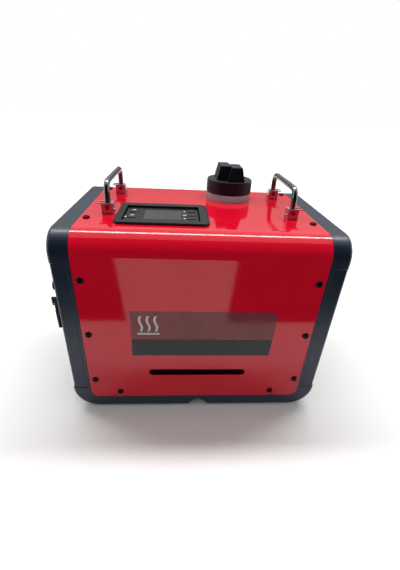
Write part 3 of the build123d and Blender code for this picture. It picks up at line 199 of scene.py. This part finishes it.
def die_cast_aluminium(name, colour):
    """Die-cast aluminium: pale, dull, with a granular skin and darker soot in broad random patches.
    """
    material, tree, shader, place = new_material(name, colour, 0.48, Metallic=1.0)
    soot = noise(tree, place, size_mm=30.0, detail=4.0, roughness=0.6)
    mottle(tree, shader, soot, colour, darker(colour, 0.62))
    grain_mm = 1.1
    grain = add_node(tree, "ShaderNodeTexVoronoi", {"Scale": 1000 / grain_mm}, {"Vector": place})
    roughen(tree, shader, grain.outputs["Distance"], depth_mm=0.03)
    return material


def nitrile_rubber(name, colour):
    """Moulded nitrile rubber: soft black that never mirrors, with a dusty bloom."""
    material, tree, shader, place = new_material(name, colour, 0.78)
    bloom = noise(tree, place, size_mm=8.0, detail=5.0, roughness=0.65)
    mottle(tree, shader, bloom, colour, linear("#3A3B3D"), start=0.45, end=0.8)
    roughen(tree, shader, noise(tree, place, size_mm=0.7, detail=2.0), depth_mm=0.02)
    return material


def natural_polyethylene(name, colour, cloud_colour, roughness):
    """Blow-moulded natural polyethylene: waxy, milky, light sinks into it before it comes back."""
    material, tree, shader, place = new_material(name, colour, roughness, **{
        "Subsurface Weight": 0.35, "Subsurface Radius": (0.004, 0.004, 0.004), "IOR": 1.51})
    mottle(tree, shader, noise(tree, place, size_mm=35.0, detail=3.0), colour, cloud_colour)
    roughen(tree, shader, noise(tree, place, size_mm=3.5, detail=3.0), depth_mm=0.04)
    return material


def clear_styrene(name, colour):
    """Clear moulded polystyrene with a slight amber tint, so that the pleats inside glow through."""
    material, tree, shader, place = new_material(name, colour, 0.12, **{
        "Transmission Weight": 0.75, "IOR": 1.55})
    roughen(tree, shader, noise(tree, place, size_mm=5.0, detail=2.0), depth_mm=0.02)
    return material


def soldered_board(name, colour, track):
    """Glass-fibre board under green solder mask: copper tracks show as paler lines."""
    material, tree, shader, place = new_material(name, colour, 0.3, IOR=1.55)
    track_pitch_mm = 9.0
    settings = {"Scale": 1000 / track_pitch_mm, "Mortar Size": 0.035, "Color1": opaque(colour),
                "Color2": opaque(darker(colour, 0.8)), "Mortar": opaque(track)}
    lines = add_node(tree, "ShaderNodeTexBrick", settings, {"Vector": place})
    tree.links.new(lines.outputs["Color"], shader.inputs["Base Color"])
    roughen(tree, shader, lines.outputs["Fac"], depth_mm=0.03)
    return material


def unlit_display(name, colour):
    """An unlit liquid-crystal panel behind anti-glare film: flat grey with a slow, soft painted
    sheen of broad darker patches.
    """
    material, tree, shader, place = new_material(name, colour, 0.3, IOR=1.5)
    # painted sheen: broad patches where the grey is darker by up to a fifth
    mottle(tree, shader, noise(tree, place, size_mm=28.0, detail=1.0), colour, darker(colour, 0.8))
    roughen(tree, shader, noise(tree, place, size_mm=0.6, detail=1.0), depth_mm=0.004)
    return material


def printed_film(name, colour, edge, roughness):
    """Printed vinyl film: flat ink with a trace of the coat's texture below it."""
    material, tree, shader, place = new_material(name, colour, roughness, **{
        "IOR": 1.5, "Specular IOR Level": 0.36})
    mottle(tree, shader, noise(tree, place, size_mm=20.0, detail=3.0), colour, edge)
    roughen(tree, shader, noise(tree, place, size_mm=2.5, detail=1.0), depth_mm=0.006)
    return material


def studio_floor(colour, bounce):
    """Pale seamless paper. Light that bounces off it onto the heater is held down to bounce."""
    material, tree, shader, _ = new_material("seamless_paper", colour, 0.9, **{
        "Specular IOR Level": 0.0})
    tint = blend_colours(tree, seen_directly(tree), bounce, colour)
    tree.links.new(tint, shader.inputs["Base Color"])
    return material


def shaded_paper(dark, light, low, high):
    """Backlit grey paper: its glow goes from dark to light between two heights in metres."""
    material, tree, shader, place = new_material("backlit_paper", (0.0, 0.0, 0.0), 1.0)
    height = add_node(tree, "ShaderNodeSeparateXYZ", {}, {0: place}).outputs["Z"]
    shader.inputs["Emission Color"].default_value = opaque(linear("#FFFFFF"))
    glow = spread(tree, height, dark, light, start=low, end=high)
    tree.links.new(glow, shader.inputs["Emission Strength"])
    return material


# ---------------------------------------------------------------- settings
class FinishSettings(bpy.types.PropertyGroup):
    """Colours of the heater's finishes."""

    cover: FloatVectorProperty(name="Cover", description="Powder coat of the steel cover",
                               default=linear("#EA0A2C"), size=3, subtype="COLOR", min=0, max=1)
    case: FloatVectorProperty(name="Case", description="Mouldings round the steel cover",
                              default=linear("#13263C"), size=3, subtype="COLOR", min=0, max=1)
    fittings: FloatVectorProperty(name="Fittings", description="Bezel, controller, outlet and inlet",
                                  default=linear("#1D2021"), size=3, subtype="COLOR", min=0, max=1)
    cap: FloatVectorProperty(name="Cap", description="Filler cap",
                             default=linear("#0B1424"), size=3, subtype="COLOR", min=0, max=1)


class PrintSettings(bpy.types.PropertyGroup):
    """Size and colours of the printed panel on the front."""

    left: FloatProperty(name="Left", description="Left end of the panel", default=-0.09225,
                        unit="LENGTH")
    right: FloatProperty(name="Right", description="Right end of the panel", default=0.11375,
                         unit="LENGTH")
    low: FloatProperty(name="Low", description="Lower edge", default=0.1100, unit="LENGTH")
    line: FloatProperty(name="Line", description="Height of the dividing line", default=0.1405,
                        unit="LENGTH")
    high: FloatProperty(name="High", description="Upper edge", default=0.1885, unit="LENGTH")
    upper: FloatVectorProperty(name="Upper band", description="Ink of the upper band",
                               default=linear("#8E3F44"), size=3, subtype="COLOR", min=0, max=1)
    lower: FloatVectorProperty(name="Lower band", description="Ink of the lower band",
                               default=linear("#15161A"), size=3, subtype="COLOR", min=0, max=1)


class StageSettings(bpy.types.PropertyGroup):
    """Camera and light."""

    camera: FloatVectorProperty(name="Camera", description="Place of the camera",
                                default=(-0.02730, -0.4916, 0.4363), size=3, subtype="TRANSLATION",
                                unit="LENGTH")
    pitch: FloatProperty(name="Pitch", description="Angle that the camera looks down",
                         default=radians(29.70), subtype="ANGLE")
    yaw: FloatProperty(name="Yaw", description="Turn of the camera to the left",
                       default=radians(-4.57), subtype="ANGLE")
    roll: FloatProperty(name="Roll", description="Tilt of the camera", default=radians(3.20),
                        subtype="ANGLE")
    lens: FloatProperty(name="Lens", description="Focal length in mm on a 36 mm high sensor",
                        default=20.05)
    window: FloatProperty(name="Window", description="Strength of the soft light from high behind",
                          default=2.75)
    panes: IntProperty(name="Panes", description="Overlapping panes of that light", default=15,
                       min=1)
    softness: FloatProperty(name="Softness", description="Width of each pane in the sky",
                            default=radians(9), subtype="ANGLE")
    lean: FloatProperty(name="Lean", description="Angle of that light back from the zenith",
                        default=radians(18), subtype="ANGLE")
    ambient: FloatProperty(name="Ambient", description="Strength of the light from all round",
                           default=0.42)
    cloth: FloatProperty(name="Cloth", description="Near edge of the black cloth in front",
                         default=-0.365, unit="LENGTH")
    gap: FloatVectorProperty(name="Gap", description="Near left, near right, far left and far right "
                             "ends of the gap in the cloth", size=4, unit="LENGTH",
                             default=(-0.142, 0.086, -0.235, 0.170))
    gap_end: FloatProperty(name="Gap end", description="Far edge of the gap in the cloth",
                           default=-0.715, unit="LENGTH")


# ---------------------------------------------------------------- mesh helpers
def add_piece(name, shape, material, body, smooth_angle=radians(35)):
    """Makes a piece from a bmesh, finishes it and lets it ride on a CAD body."""
    bmesh.ops.remove_doubles(shape, verts=shape.verts, dist=1e-7)
    bmesh.ops.recalc_face_normals(shape, faces=shape.faces)
    mesh = bpy.data.meshes.new(name)
    shape.to_mesh(mesh)
    shape.free()
    mesh.shade_smooth()
    mesh.set_sharp_from_angle(angle=smooth_angle)
    mesh.materials.append(material)
    piece = bpy.data.objects.new(name, mesh)
    bpy.context.scene.collection.objects.link(piece)
    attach(piece, body)
    return piece


def add_stage_sheet(name, shape, material, gloss_only=False):
    """Puts a finished bmesh on the stage. One that is gloss_only shows in reflections alone."""
    mesh = bpy.data.meshes.new(name)
    shape.to_mesh(mesh)
    shape.free()
    mesh.materials.append(material)
    sheet = bpy.data.objects.new(name, mesh)
    bpy.context.scene.collection.objects.link(sheet)
    if gloss_only:
        for way in ("camera", "diffuse", "transmission", "volume_scatter", "shadow"):
            setattr(sheet, "visible_" + way, False)


def raise_outline(shape, corners, offset):
    """A flat plate: a face through corners, thickened by offset."""
    face = shape.faces.new([shape.verts.new(corner) for corner in corners])
    body = bmesh.ops.extrude_face_region(shape, geom=[face])["geom"]
    moved = [part for part in body if isinstance(part, bmesh.types.BMVert)]
    bmesh.ops.translate(shape, verts=moved, vec=offset)


def wall(y, top):
    """Corners of an upright sheet across the stage at y."""
    return [(-SHEET_SIDE, y, 0), (SHEET_SIDE, y, 0), (SHEET_SIDE, y, top), (-SHEET_SIDE, y, top)]


def wave_points(middle, foot, height, swing, steps):
    """Centre line of one upright wavy stroke, as pairs of x and z."""
    points = []
    for i in range(steps + 1):
        share = i / steps
        points.append((middle + swing * sin(2 * pi * share), foot + height * share))
    return points


def finish(material, *names):
    """Gives CAD nodes a material in all their slots."""
    for name in names:
        slots = nodes[name].material_slots
        if not slots:
            raise RuntimeError(f"{name} has no material slot")
        for place in slots:
            place.material = material


# ---------------------------------------------------------------- operators: finishes
class HEATER_OT_finish_case(bpy.types.Operator):
    """Finishes the steel cover, the mouldings round it and the feet"""

    bl_idname = "heater.finish_case"
    bl_label = "Finish case"

    def execute(self, context):
        colours = context.scene.heater_finish
        finish(gloss_powder_coat(colours.cover), "steel_cover")
        # glass-filled polypropylene, spark-eroded mould: satin navy-black
        case = moulded_plastic("moulded_polypropylene", colours.case, roughness=0.33, grain_mm=0.9,
                               grain_depth=0.01)
        finish(case, "left_end_frame", "right_end_frame", "left_side_cover", "right_side_cover",
               "base_tray")
        finish(nitrile_rubber("nitrile_rubber", linear("#1A1B1C")), "rubber_feet", "cap_gasket",
               "pump_clip", "tank_hose", "filter_hose", "pump_hose")
        return {"FINISHED"}


class HEATER_OT_finish_fittings(bpy.types.Operator):
    """Finishes the display, the keys, the outlet, the power inlet and the filler"""

    bl_idname = "heater.finish_fittings"
    bl_label = "Finish fittings"

    def execute(self, context):
        colours = context.scene.heater_finish
        # ABS with a fine grain: soft grey sheen on black
        abs_black = moulded_plastic("moulded_abs", colours.fittings, roughness=0.42, grain_mm=0.7,
                                    grain_depth=0.01, level=0.26)
        finish(abs_black, "display_bezel", "controller_housing", "outlet_collar", "louvre_ring",
               "louvre_blade_1", "louvre_blade_2", "louvre_blade_3", "power_inlet", "inlet_lid",
               "air_fan")
        # nylon with a coarser grain: a duller, bluish black
        cap = moulded_plastic("moulded_nylon", colours.cap, roughness=0.42, grain_mm=0.8,
                              grain_depth=0.012, level=0.3)
        finish(cap, "fuel_cap")
        # silicone keys with a hard gloss lacquer: small bright highlights
        keys = moulded_plastic("lacquered_silicone", linear("#101215"), roughness=0.16,
                               grain_mm=2.5, grain_depth=0.004, sheen_mm=9.0)
        finish(keys, "power_key", "mode_key", "up_key", "set_key", "down_key")
        finish(unlit_display("anti_glare_display", linear("#343939")), "lcd_window")
        neck = natural_polyethylene("frosted_polypropylene", linear("#BCBEC4"), linear("#A6A8AF"),
                                    roughness=0.42)
        finish(neck, "filler_neck")
        return {"FINISHED"}


class HEATER_OT_finish_metals(bpy.types.Operator):
    """Finishes the handles, screws, pins and plates"""

    bl_idname = "heater.finish_metals"
    bl_label = "Finish metals"

    def execute(self, context):
        chrome = plated_steel("chrome_plate", linear("#7E7E83"), roughness=0.07,
                              stain=linear("#6E6F74"))
        finish(chrome, "left_handle", "right_handle", "handle_pins")
        # the pressed brackets are plated over a rolled surface, so their shine is softer
        satin = plated_steel("satin_chrome_plate", linear("#D6D7DA"), roughness=0.26,
                             stain=linear("#C4C5C9"))
        finish(satin, "handle_brackets")
        # black oxide keeps the steel's sheen under an oily, nearly black skin
        oxide = plated_steel("black_oxide_steel", linear("#2A2A2C"), roughness=0.34,
                             stain=linear("#1C1C1F"), stain_mm=4.0)
        finish(oxide, "panel_screws", "side_cover_screws")
        zinc = plated_steel("zinc_plate", linear("#BFC2C4"), roughness=0.3, stain=linear("#A7ACB0"))
        finish(zinc, "handle_backing_plates", "handle_nuts", "lid_pin", "tank_shelf", "fuel_pump",
               "blower_motor", "blower_shaft")
        return {"FINISHED"}


class HEATER_OT_finish_inside(bpy.types.Operator):
    """Finishes the heater unit, the tank and the boards inside the case"""

    bl_idname = "heater.finish_inside"
    bl_label = "Finish inside"

    def execute(self, context):
        duct = moulded_plastic("glass_filled_nylon", linear("#2B2C2D"), roughness=0.5, grain_mm=1.2,
                               grain_depth=0.02)
        finish(duct, "heater_lower_shell", "heater_upper_shell")
        finish(die_cast_aluminium("die_cast_aluminium", linear("#B4B6B8")), "heat_exchanger",
               "combustion_air_box", "combustion_fan", "intake_stub")
        hot = heated_stainless("heated_stainless", linear("#A8937A"), linear("#6F7486"))
        finish(hot, "burner_tube", "glow_plug", "exhaust_stub")
        tank = natural_polyethylene("natural_polyethylene", linear("#E6E3DA"), linear("#DAD5C8"),
                                    roughness=0.38)
        finish(tank, "fuel_tank")
        finish(clear_styrene("clear_polystyrene", linear("#E8E2C8")), "fuel_filter")
        board = soldered_board("solder_mask", linear("#14693C"), linear("#2E8F58"))
        finish(board, "display_board", "control_board")
        return {"FINISHED"}


# ---------------------------------------------------------------- sizes of the pieces
FILM_THICK = 0.18 * MM      # vinyl of the front's label
INK_THICK = 0.06 * MM       # white ink on the label
SEAT = 0.02 * MM            # keeps two flat faces apart, so that neither flickers
BAND_GAP = 0.6 * MM         # between the label's bands
LABEL_LEAN = 2.5 * MM       # the right end of the label leans by this over its height
SIGN_RISE = 8.5 * MM        # foot of the sign above the line between the bands
SIGN_BAR = (9.0 * MM, 40.0 * MM)    # ends of the sign's bar, from the left end of the label
SIGN_BAR_THICK = 2.8 * MM
WAVES = 3
WAVE_START = 14.0 * MM      # middle of the first wave, from the left end of the label
WAVE_PITCH = 10.5 * MM
WAVE_RISE = 5.5 * MM        # foot of the waves above the foot of the sign
WAVE_HEIGHT = 26.0 * MM
WAVE_SWING = 1.8 * MM
WAVE_STROKE = 3.2 * MM
WAVE_STEPS = 16

MARK_SEAT = 0.01 * MM
MARK_THICK = 0.08 * MM
MARK_ASIDE = 3.0 * MM       # middle of a mark from the left side of its key
MARK_BEHIND = 2.8 * MM      # middle of a mark from the rear side of its key
ARROW_RADIUS = 2.6 * MM
SET_BAR = (5.2 * MM, 1.3 * MM)      # width and depth of each of the set key's two bars
SET_BAR_APART = 3.0 * MM
LEFT_BAR = (5.8 * MM, 1.4 * MM)     # each left key has a long and a short bar behind it
LEFT_BAR_TOP = (3.4 * MM, 1.2 * MM)
LEFT_BAR_APART = 2.0 * MM
DOT_ASIDE = 2.0 * MM
DOT_RADIUS = 1.7 * MM
DOT_CORNERS = 16

RIB_FOOT = 2.2 * MM         # above the lower edge of the cap
RIB_TOP = 18.6 * MM
RIB_DEPTH = 0.7 * MM        # from the inner to the outer face of a rib, partly inside the cap
RIB_WIDTH = 1.5 * MM
RIB_SUNK = 0.05 * MM        # middle of a rib inside the side of the cap
RIB_EDGE = 0.2 * MM

FLOOR_REACH = 12.0          # the stage's sizes are in metres
SHEET_SIDE = 3.0            # half the width of the cloth and of the paper
SHEET_THICK = 0.5 * MM
CLOTH_BACK, CLOTH_TOP = -1.6, 5.0
CLOTH_LIFT = 1.0 * MM
PAPER_BACK, PAPER_TOP = 2.0, 1.6


# ---------------------------------------------------------------- operators: pieces
class HEATER_OT_add_front_print(bpy.types.Operator):
    """Adds the two-band printed panel on the front, with a plain warm-air sign"""

    bl_idname = "heater.add_front_print"
    bl_label = "Add front print"

    def execute(self, context):
        size = context.scene.heater_print
        face = cover_low.y - SEAT
        film = Vector((0, -FILM_THICK, 0))
        lean = size.right - LABEL_LEAN / 2
        foot = size.right - LABEL_LEAN
        seam = size.line - BAND_GAP
        upper = bmesh.new()
        raise_outline(upper, [(size.left, face, size.line), (lean, face, size.line),
                              (size.right, face, size.high), (size.left, face, size.high)], film)
        add_piece("front_print_upper", upper,
                  printed_film("maroon_vinyl", size.upper, darker(size.upper, 0.8), 0.12),
                  "case")
        lower = bmesh.new()
        raise_outline(lower, [(size.left, face, size.low), (foot, face, size.low),
                              (lean, face, seam), (size.left, face, seam)], film)
        add_piece("front_print_lower", lower,
                  printed_film("charcoal_vinyl", size.lower, darker(size.lower, 0.8), 0.12),
                  "case")

        sign = bmesh.new()
        ink = face - FILM_THICK - SEAT
        raised = Vector((0, -INK_THICK, 0))
        low = size.line + SIGN_RISE
        half = WAVE_STROKE / 2
        for wave in range(WAVES):
            middle = size.left + WAVE_START + WAVE_PITCH * wave
            stroke = wave_points(middle, low + WAVE_RISE, WAVE_HEIGHT, WAVE_SWING, WAVE_STEPS)
            up = [(x + half, ink, z) for x, z in stroke]
            down = [(x - half, ink, z) for x, z in reversed(stroke)]
            raise_outline(sign, up + down, raised)
        left, right = (size.left + end for end in SIGN_BAR)
        high = low + SIGN_BAR_THICK
        raise_outline(sign, [(left, ink, low), (right, ink, low), (right, ink, high),
                             (left, ink, high)], raised)
        add_piece("front_print_sign", sign,
                  printed_film("white_ink", linear("#E9E7E6"), linear("#DCD9D8"), 0.35),
                  "case")
        return {"FINISHED"}


class HEATER_OT_add_key_marks(bpy.types.Operator):
    """Adds the white marks beside the keys"""

    bl_idname = "heater.add_key_marks"
    bl_label = "Add key marks"

    def execute(self, context):
        marks = bmesh.new()
        top = housing_high.z + MARK_SEAT
        ink = Vector((0, 0, MARK_THICK))

        def polygon(x, y, radius, corners, turn):
            angles = [turn + 2 * pi * i / corners for i in range(corners)]
            raise_outline(marks, [(x + radius * cos(angle), y + radius * sin(angle), top)
                                  for angle in angles], ink)

        def bar(x, y, size):
            width, depth = size
            raise_outline(marks, [(x + side * width / 2, y + end * depth / 2, top)
                                  for side, end in ((-1, -1), (1, -1), (1, 1), (-1, 1))], ink)

        for name in ("up_key", "set_key", "down_key"):
            low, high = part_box(name)
            x = low.x - MARK_ASIDE
            y = (low.y + high.y) / 2
            if name == "set_key":
                bar(x, y + SET_BAR_APART / 2, SET_BAR)
                bar(x, y - SET_BAR_APART / 2, SET_BAR)
            else:
                polygon(x, y, ARROW_RADIUS, 3, pi / 2 if name == "up_key" else -pi / 2)
        for name in ("power_key", "mode_key"):
            low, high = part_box(name)
            x = (low.x + high.x) / 2
            y = high.y + MARK_BEHIND
            bar(x, y, LEFT_BAR)
            bar(x, y + LEFT_BAR_APART, LEFT_BAR_TOP)
        low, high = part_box("mode_key")
        polygon(low.x - DOT_ASIDE, (low.y + high.y) / 2, DOT_RADIUS, DOT_CORNERS, 0)
        add_piece("key_marks", marks,
                  printed_film("white_key_ink", linear("#F2F2F0"), linear("#E4E4E2"), 0.4),
                  "case")
        return {"FINISHED"}


class HEATER_OT_add_cap_ribs(bpy.types.Operator):
    """Adds the fine upright ribs round the filler cap"""

    bl_idname = "heater.add_cap_ribs"
    bl_label = "Add cap ribs"

    ribs: IntProperty(name="Ribs", description="Number of ribs round the cap", default=60, min=12)

    def execute(self, context):
        shape = bmesh.new()
        centre = (cap_low + cap_high) / 2
        radius = (cap_high.x - cap_low.x) / 2
        low = cap_low.z + RIB_FOOT
        high = cap_low.z + RIB_TOP
        size = Matrix.Diagonal((RIB_DEPTH, RIB_WIDTH, high - low, 1.0))
        place = Matrix.Translation((centre.x + radius - RIB_SUNK, centre.y, (low + high) / 2))
        bmesh.ops.create_cube(shape, size=1.0, matrix=place @ size)
        bmesh.ops.bevel(shape, geom=shape.edges[:], offset=RIB_EDGE, segments=1, profile=0.5,
                        affect="EDGES", material=-1)
        turn = 2 * pi * (self.ribs - 1) / self.ribs
        bmesh.ops.spin(shape, geom=shape.verts[:] + shape.edges[:] + shape.faces[:],
                       cent=(centre.x, centre.y, 0), axis=(0, 0, 1), angle=turn,
                       steps=self.ribs - 1, use_duplicate=True, use_merge=False)
        add_piece("cap_ribs", shape, nodes["fuel_cap"].material_slots[0].material, "fuel_cap")
        return {"FINISHED"}


# ---------------------------------------------------------------- operator: stage
class HEATER_OT_set_stage(bpy.types.Operator):
    """Sets the pale floor, the soft light and the camera of the photograph's view"""

    bl_idname = "heater.set_stage"
    bl_label = "Set stage"

    def execute(self, context):
        stage = context.scene.heater_stage
        ground = bmesh.new()
        bmesh.ops.create_grid(ground, x_segments=1, y_segments=1, size=FLOOR_REACH)
        add_stage_sheet("floor", ground, studio_floor(linear("#FBFBFB"), linear("#9A9A9A")))

        # a black cloth on the floor and up behind the camera: it shows in the gloss alone
        cloth = bmesh.new()
        down = Vector((0, 0, -SHEET_THICK))
        near_left, near_right, far_left, far_right = stage.gap
        left, right, lift = -SHEET_SIDE, SHEET_SIDE, CLOTH_LIFT
        near, far = stage.cloth, stage.gap_end
        raise_outline(cloth, [(left, near, lift), (near_left, near, lift), (far_left, far, lift),
                              (left, far, lift)], down)
        raise_outline(cloth, [(near_right, near, lift), (right, near, lift), (right, far, lift),
                              (far_right, far, lift)], down)
        raise_outline(cloth, [(left, far, lift), (right, far, lift), (right, CLOTH_BACK, lift),
                              (left, CLOTH_BACK, lift)], down)
        raise_outline(cloth, wall(CLOTH_BACK, CLOTH_TOP), Vector((0, -SHEET_THICK, 0)))
        velvet, *_ = new_material("black_velvet", linear("#0A0A0B"), 1.0)
        add_stage_sheet("black_cloth", cloth, velvet, gloss_only=True)

        # grey paper behind, darker at its foot: the gloss of the top shows it
        paper = bmesh.new()
        raise_outline(paper, wall(PAPER_BACK, PAPER_TOP), Vector((0, SHEET_THICK, 0)))
        add_stage_sheet("grey_paper", paper, shaded_paper(dark=0.2, light=1.0, low=0.6, high=1.5),
                        gloss_only=True)

        world = bpy.data.worlds.new("pale_studio")
        world.use_nodes = True
        tree = world.node_tree
        tree.nodes.clear()
        output = add_node(tree, "ShaderNodeOutputWorld")
        strength = add_node(tree, "ShaderNodeMapRange", {"To Min": stage.ambient, "To Max": 1.0},
                            {"Value": seen_directly(tree)})
        sky = add_node(tree, "ShaderNodeBackground", {"Color": (1.0, 1.0, 1.0, 1.0)},
                       {"Strength": strength.outputs["Result"]})
        tree.links.new(sky.outputs["Background"], output.inputs["Surface"])
        context.scene.world = world

        panes = stage.panes
        for pane in range(panes):
            lamp = bpy.data.lights.new(f"window_pane_{pane + 1}", "SUN")
            lamp.energy = stage.window / panes
            lamp.angle = stage.softness
            lamp.color = (1.0, 0.985, 0.97)
            window = bpy.data.objects.new(lamp.name, lamp)
            # each pane lies half over its neighbour, so that no gap shows in the gloss
            aside = stage.softness / 2 * (pane - (panes - 1) / 2)
            turned = Matrix.Rotation(-stage.lean, 3, "X") @ Matrix.Rotation(aside, 3, "Y")
            window.matrix_world = turned.to_4x4()
            context.scene.collection.objects.link(window)

        data = bpy.data.cameras.new("camera")
        data.sensor_fit = "VERTICAL"
        data.sensor_height = 36.0
        data.lens = stage.lens
        data.clip_start = 0.01
        camera = bpy.data.objects.new("camera", data)
        level = Matrix(((1, 0, 0), (0, 0, 1), (0, 1, 0)))
        rows = (Matrix.Rotation(-stage.roll, 3, "Z") @ Matrix.Rotation(-stage.pitch, 3, "X") @ level
                @ Matrix.Rotation(-stage.yaw, 3, "Z"))
        turned = Matrix((rows[0], rows[1], -rows[2])).transposed()
        camera.matrix_world = Matrix.Translation(Vector(stage.camera)) @ turned.to_4x4()
        context.scene.collection.objects.link(camera)
        context.scene.camera = camera
        context.scene.view_settings.view_transform = "Standard"
        return {"FINISHED"}


# ---------------------------------------------------------------- panel and registration
class HEATER_PT_looks(bpy.types.Panel):
    """Lists the operators and their settings"""

    bl_idname = "HEATER_PT_looks"
    bl_label = "Diesel air heater"
    bl_space_type = "VIEW_3D"
    bl_region_type = "UI"
    bl_category = "Heater"

    def draw(self, context):
        for group in (context.scene.heater_finish, context.scene.heater_print,
                      context.scene.heater_stage):
            for name in group.__annotations__:
                self.layout.prop(group, name)
        for operator in OPERATORS:
            self.layout.operator(operator.bl_idname)


OPERATORS = (HEATER_OT_finish_case, HEATER_OT_finish_fittings, HEATER_OT_finish_metals,
             HEATER_OT_finish_inside, HEATER_OT_add_front_print, HEATER_OT_add_key_marks,
             HEATER_OT_add_cap_ribs, HEATER_OT_set_stage)
SETTINGS = {"heater_finish": FinishSettings, "heater_print": PrintSettings,
            "heater_stage": StageSettings}


def register():
    for kind in (*SETTINGS.values(), *OPERATORS, HEATER_PT_looks):
        bpy.utils.register_class(kind)
    for name, kind in SETTINGS.items():
        setattr(bpy.types.Scene, name, PointerProperty(type=kind))


def unregister():
    for name in SETTINGS:
        delattr(bpy.types.Scene, name)
    for kind in reversed((*SETTINGS.values(), *OPERATORS, HEATER_PT_looks)):
        bpy.utils.unregister_class(kind)


def main():
    """Builds the whole scene."""
    register()
    bpy.ops.heater.finish_case()
    bpy.ops.heater.finish_fittings()
    bpy.ops.heater.finish_metals()
    bpy.ops.heater.finish_inside()
    bpy.ops.heater.add_front_print()
    bpy.ops.heater.add_key_marks()
    bpy.ops.heater.add_cap_ribs()
    bpy.ops.heater.set_stage()
    bpy.context.view_layer.update()


if __name__ == "__main__":
    main()
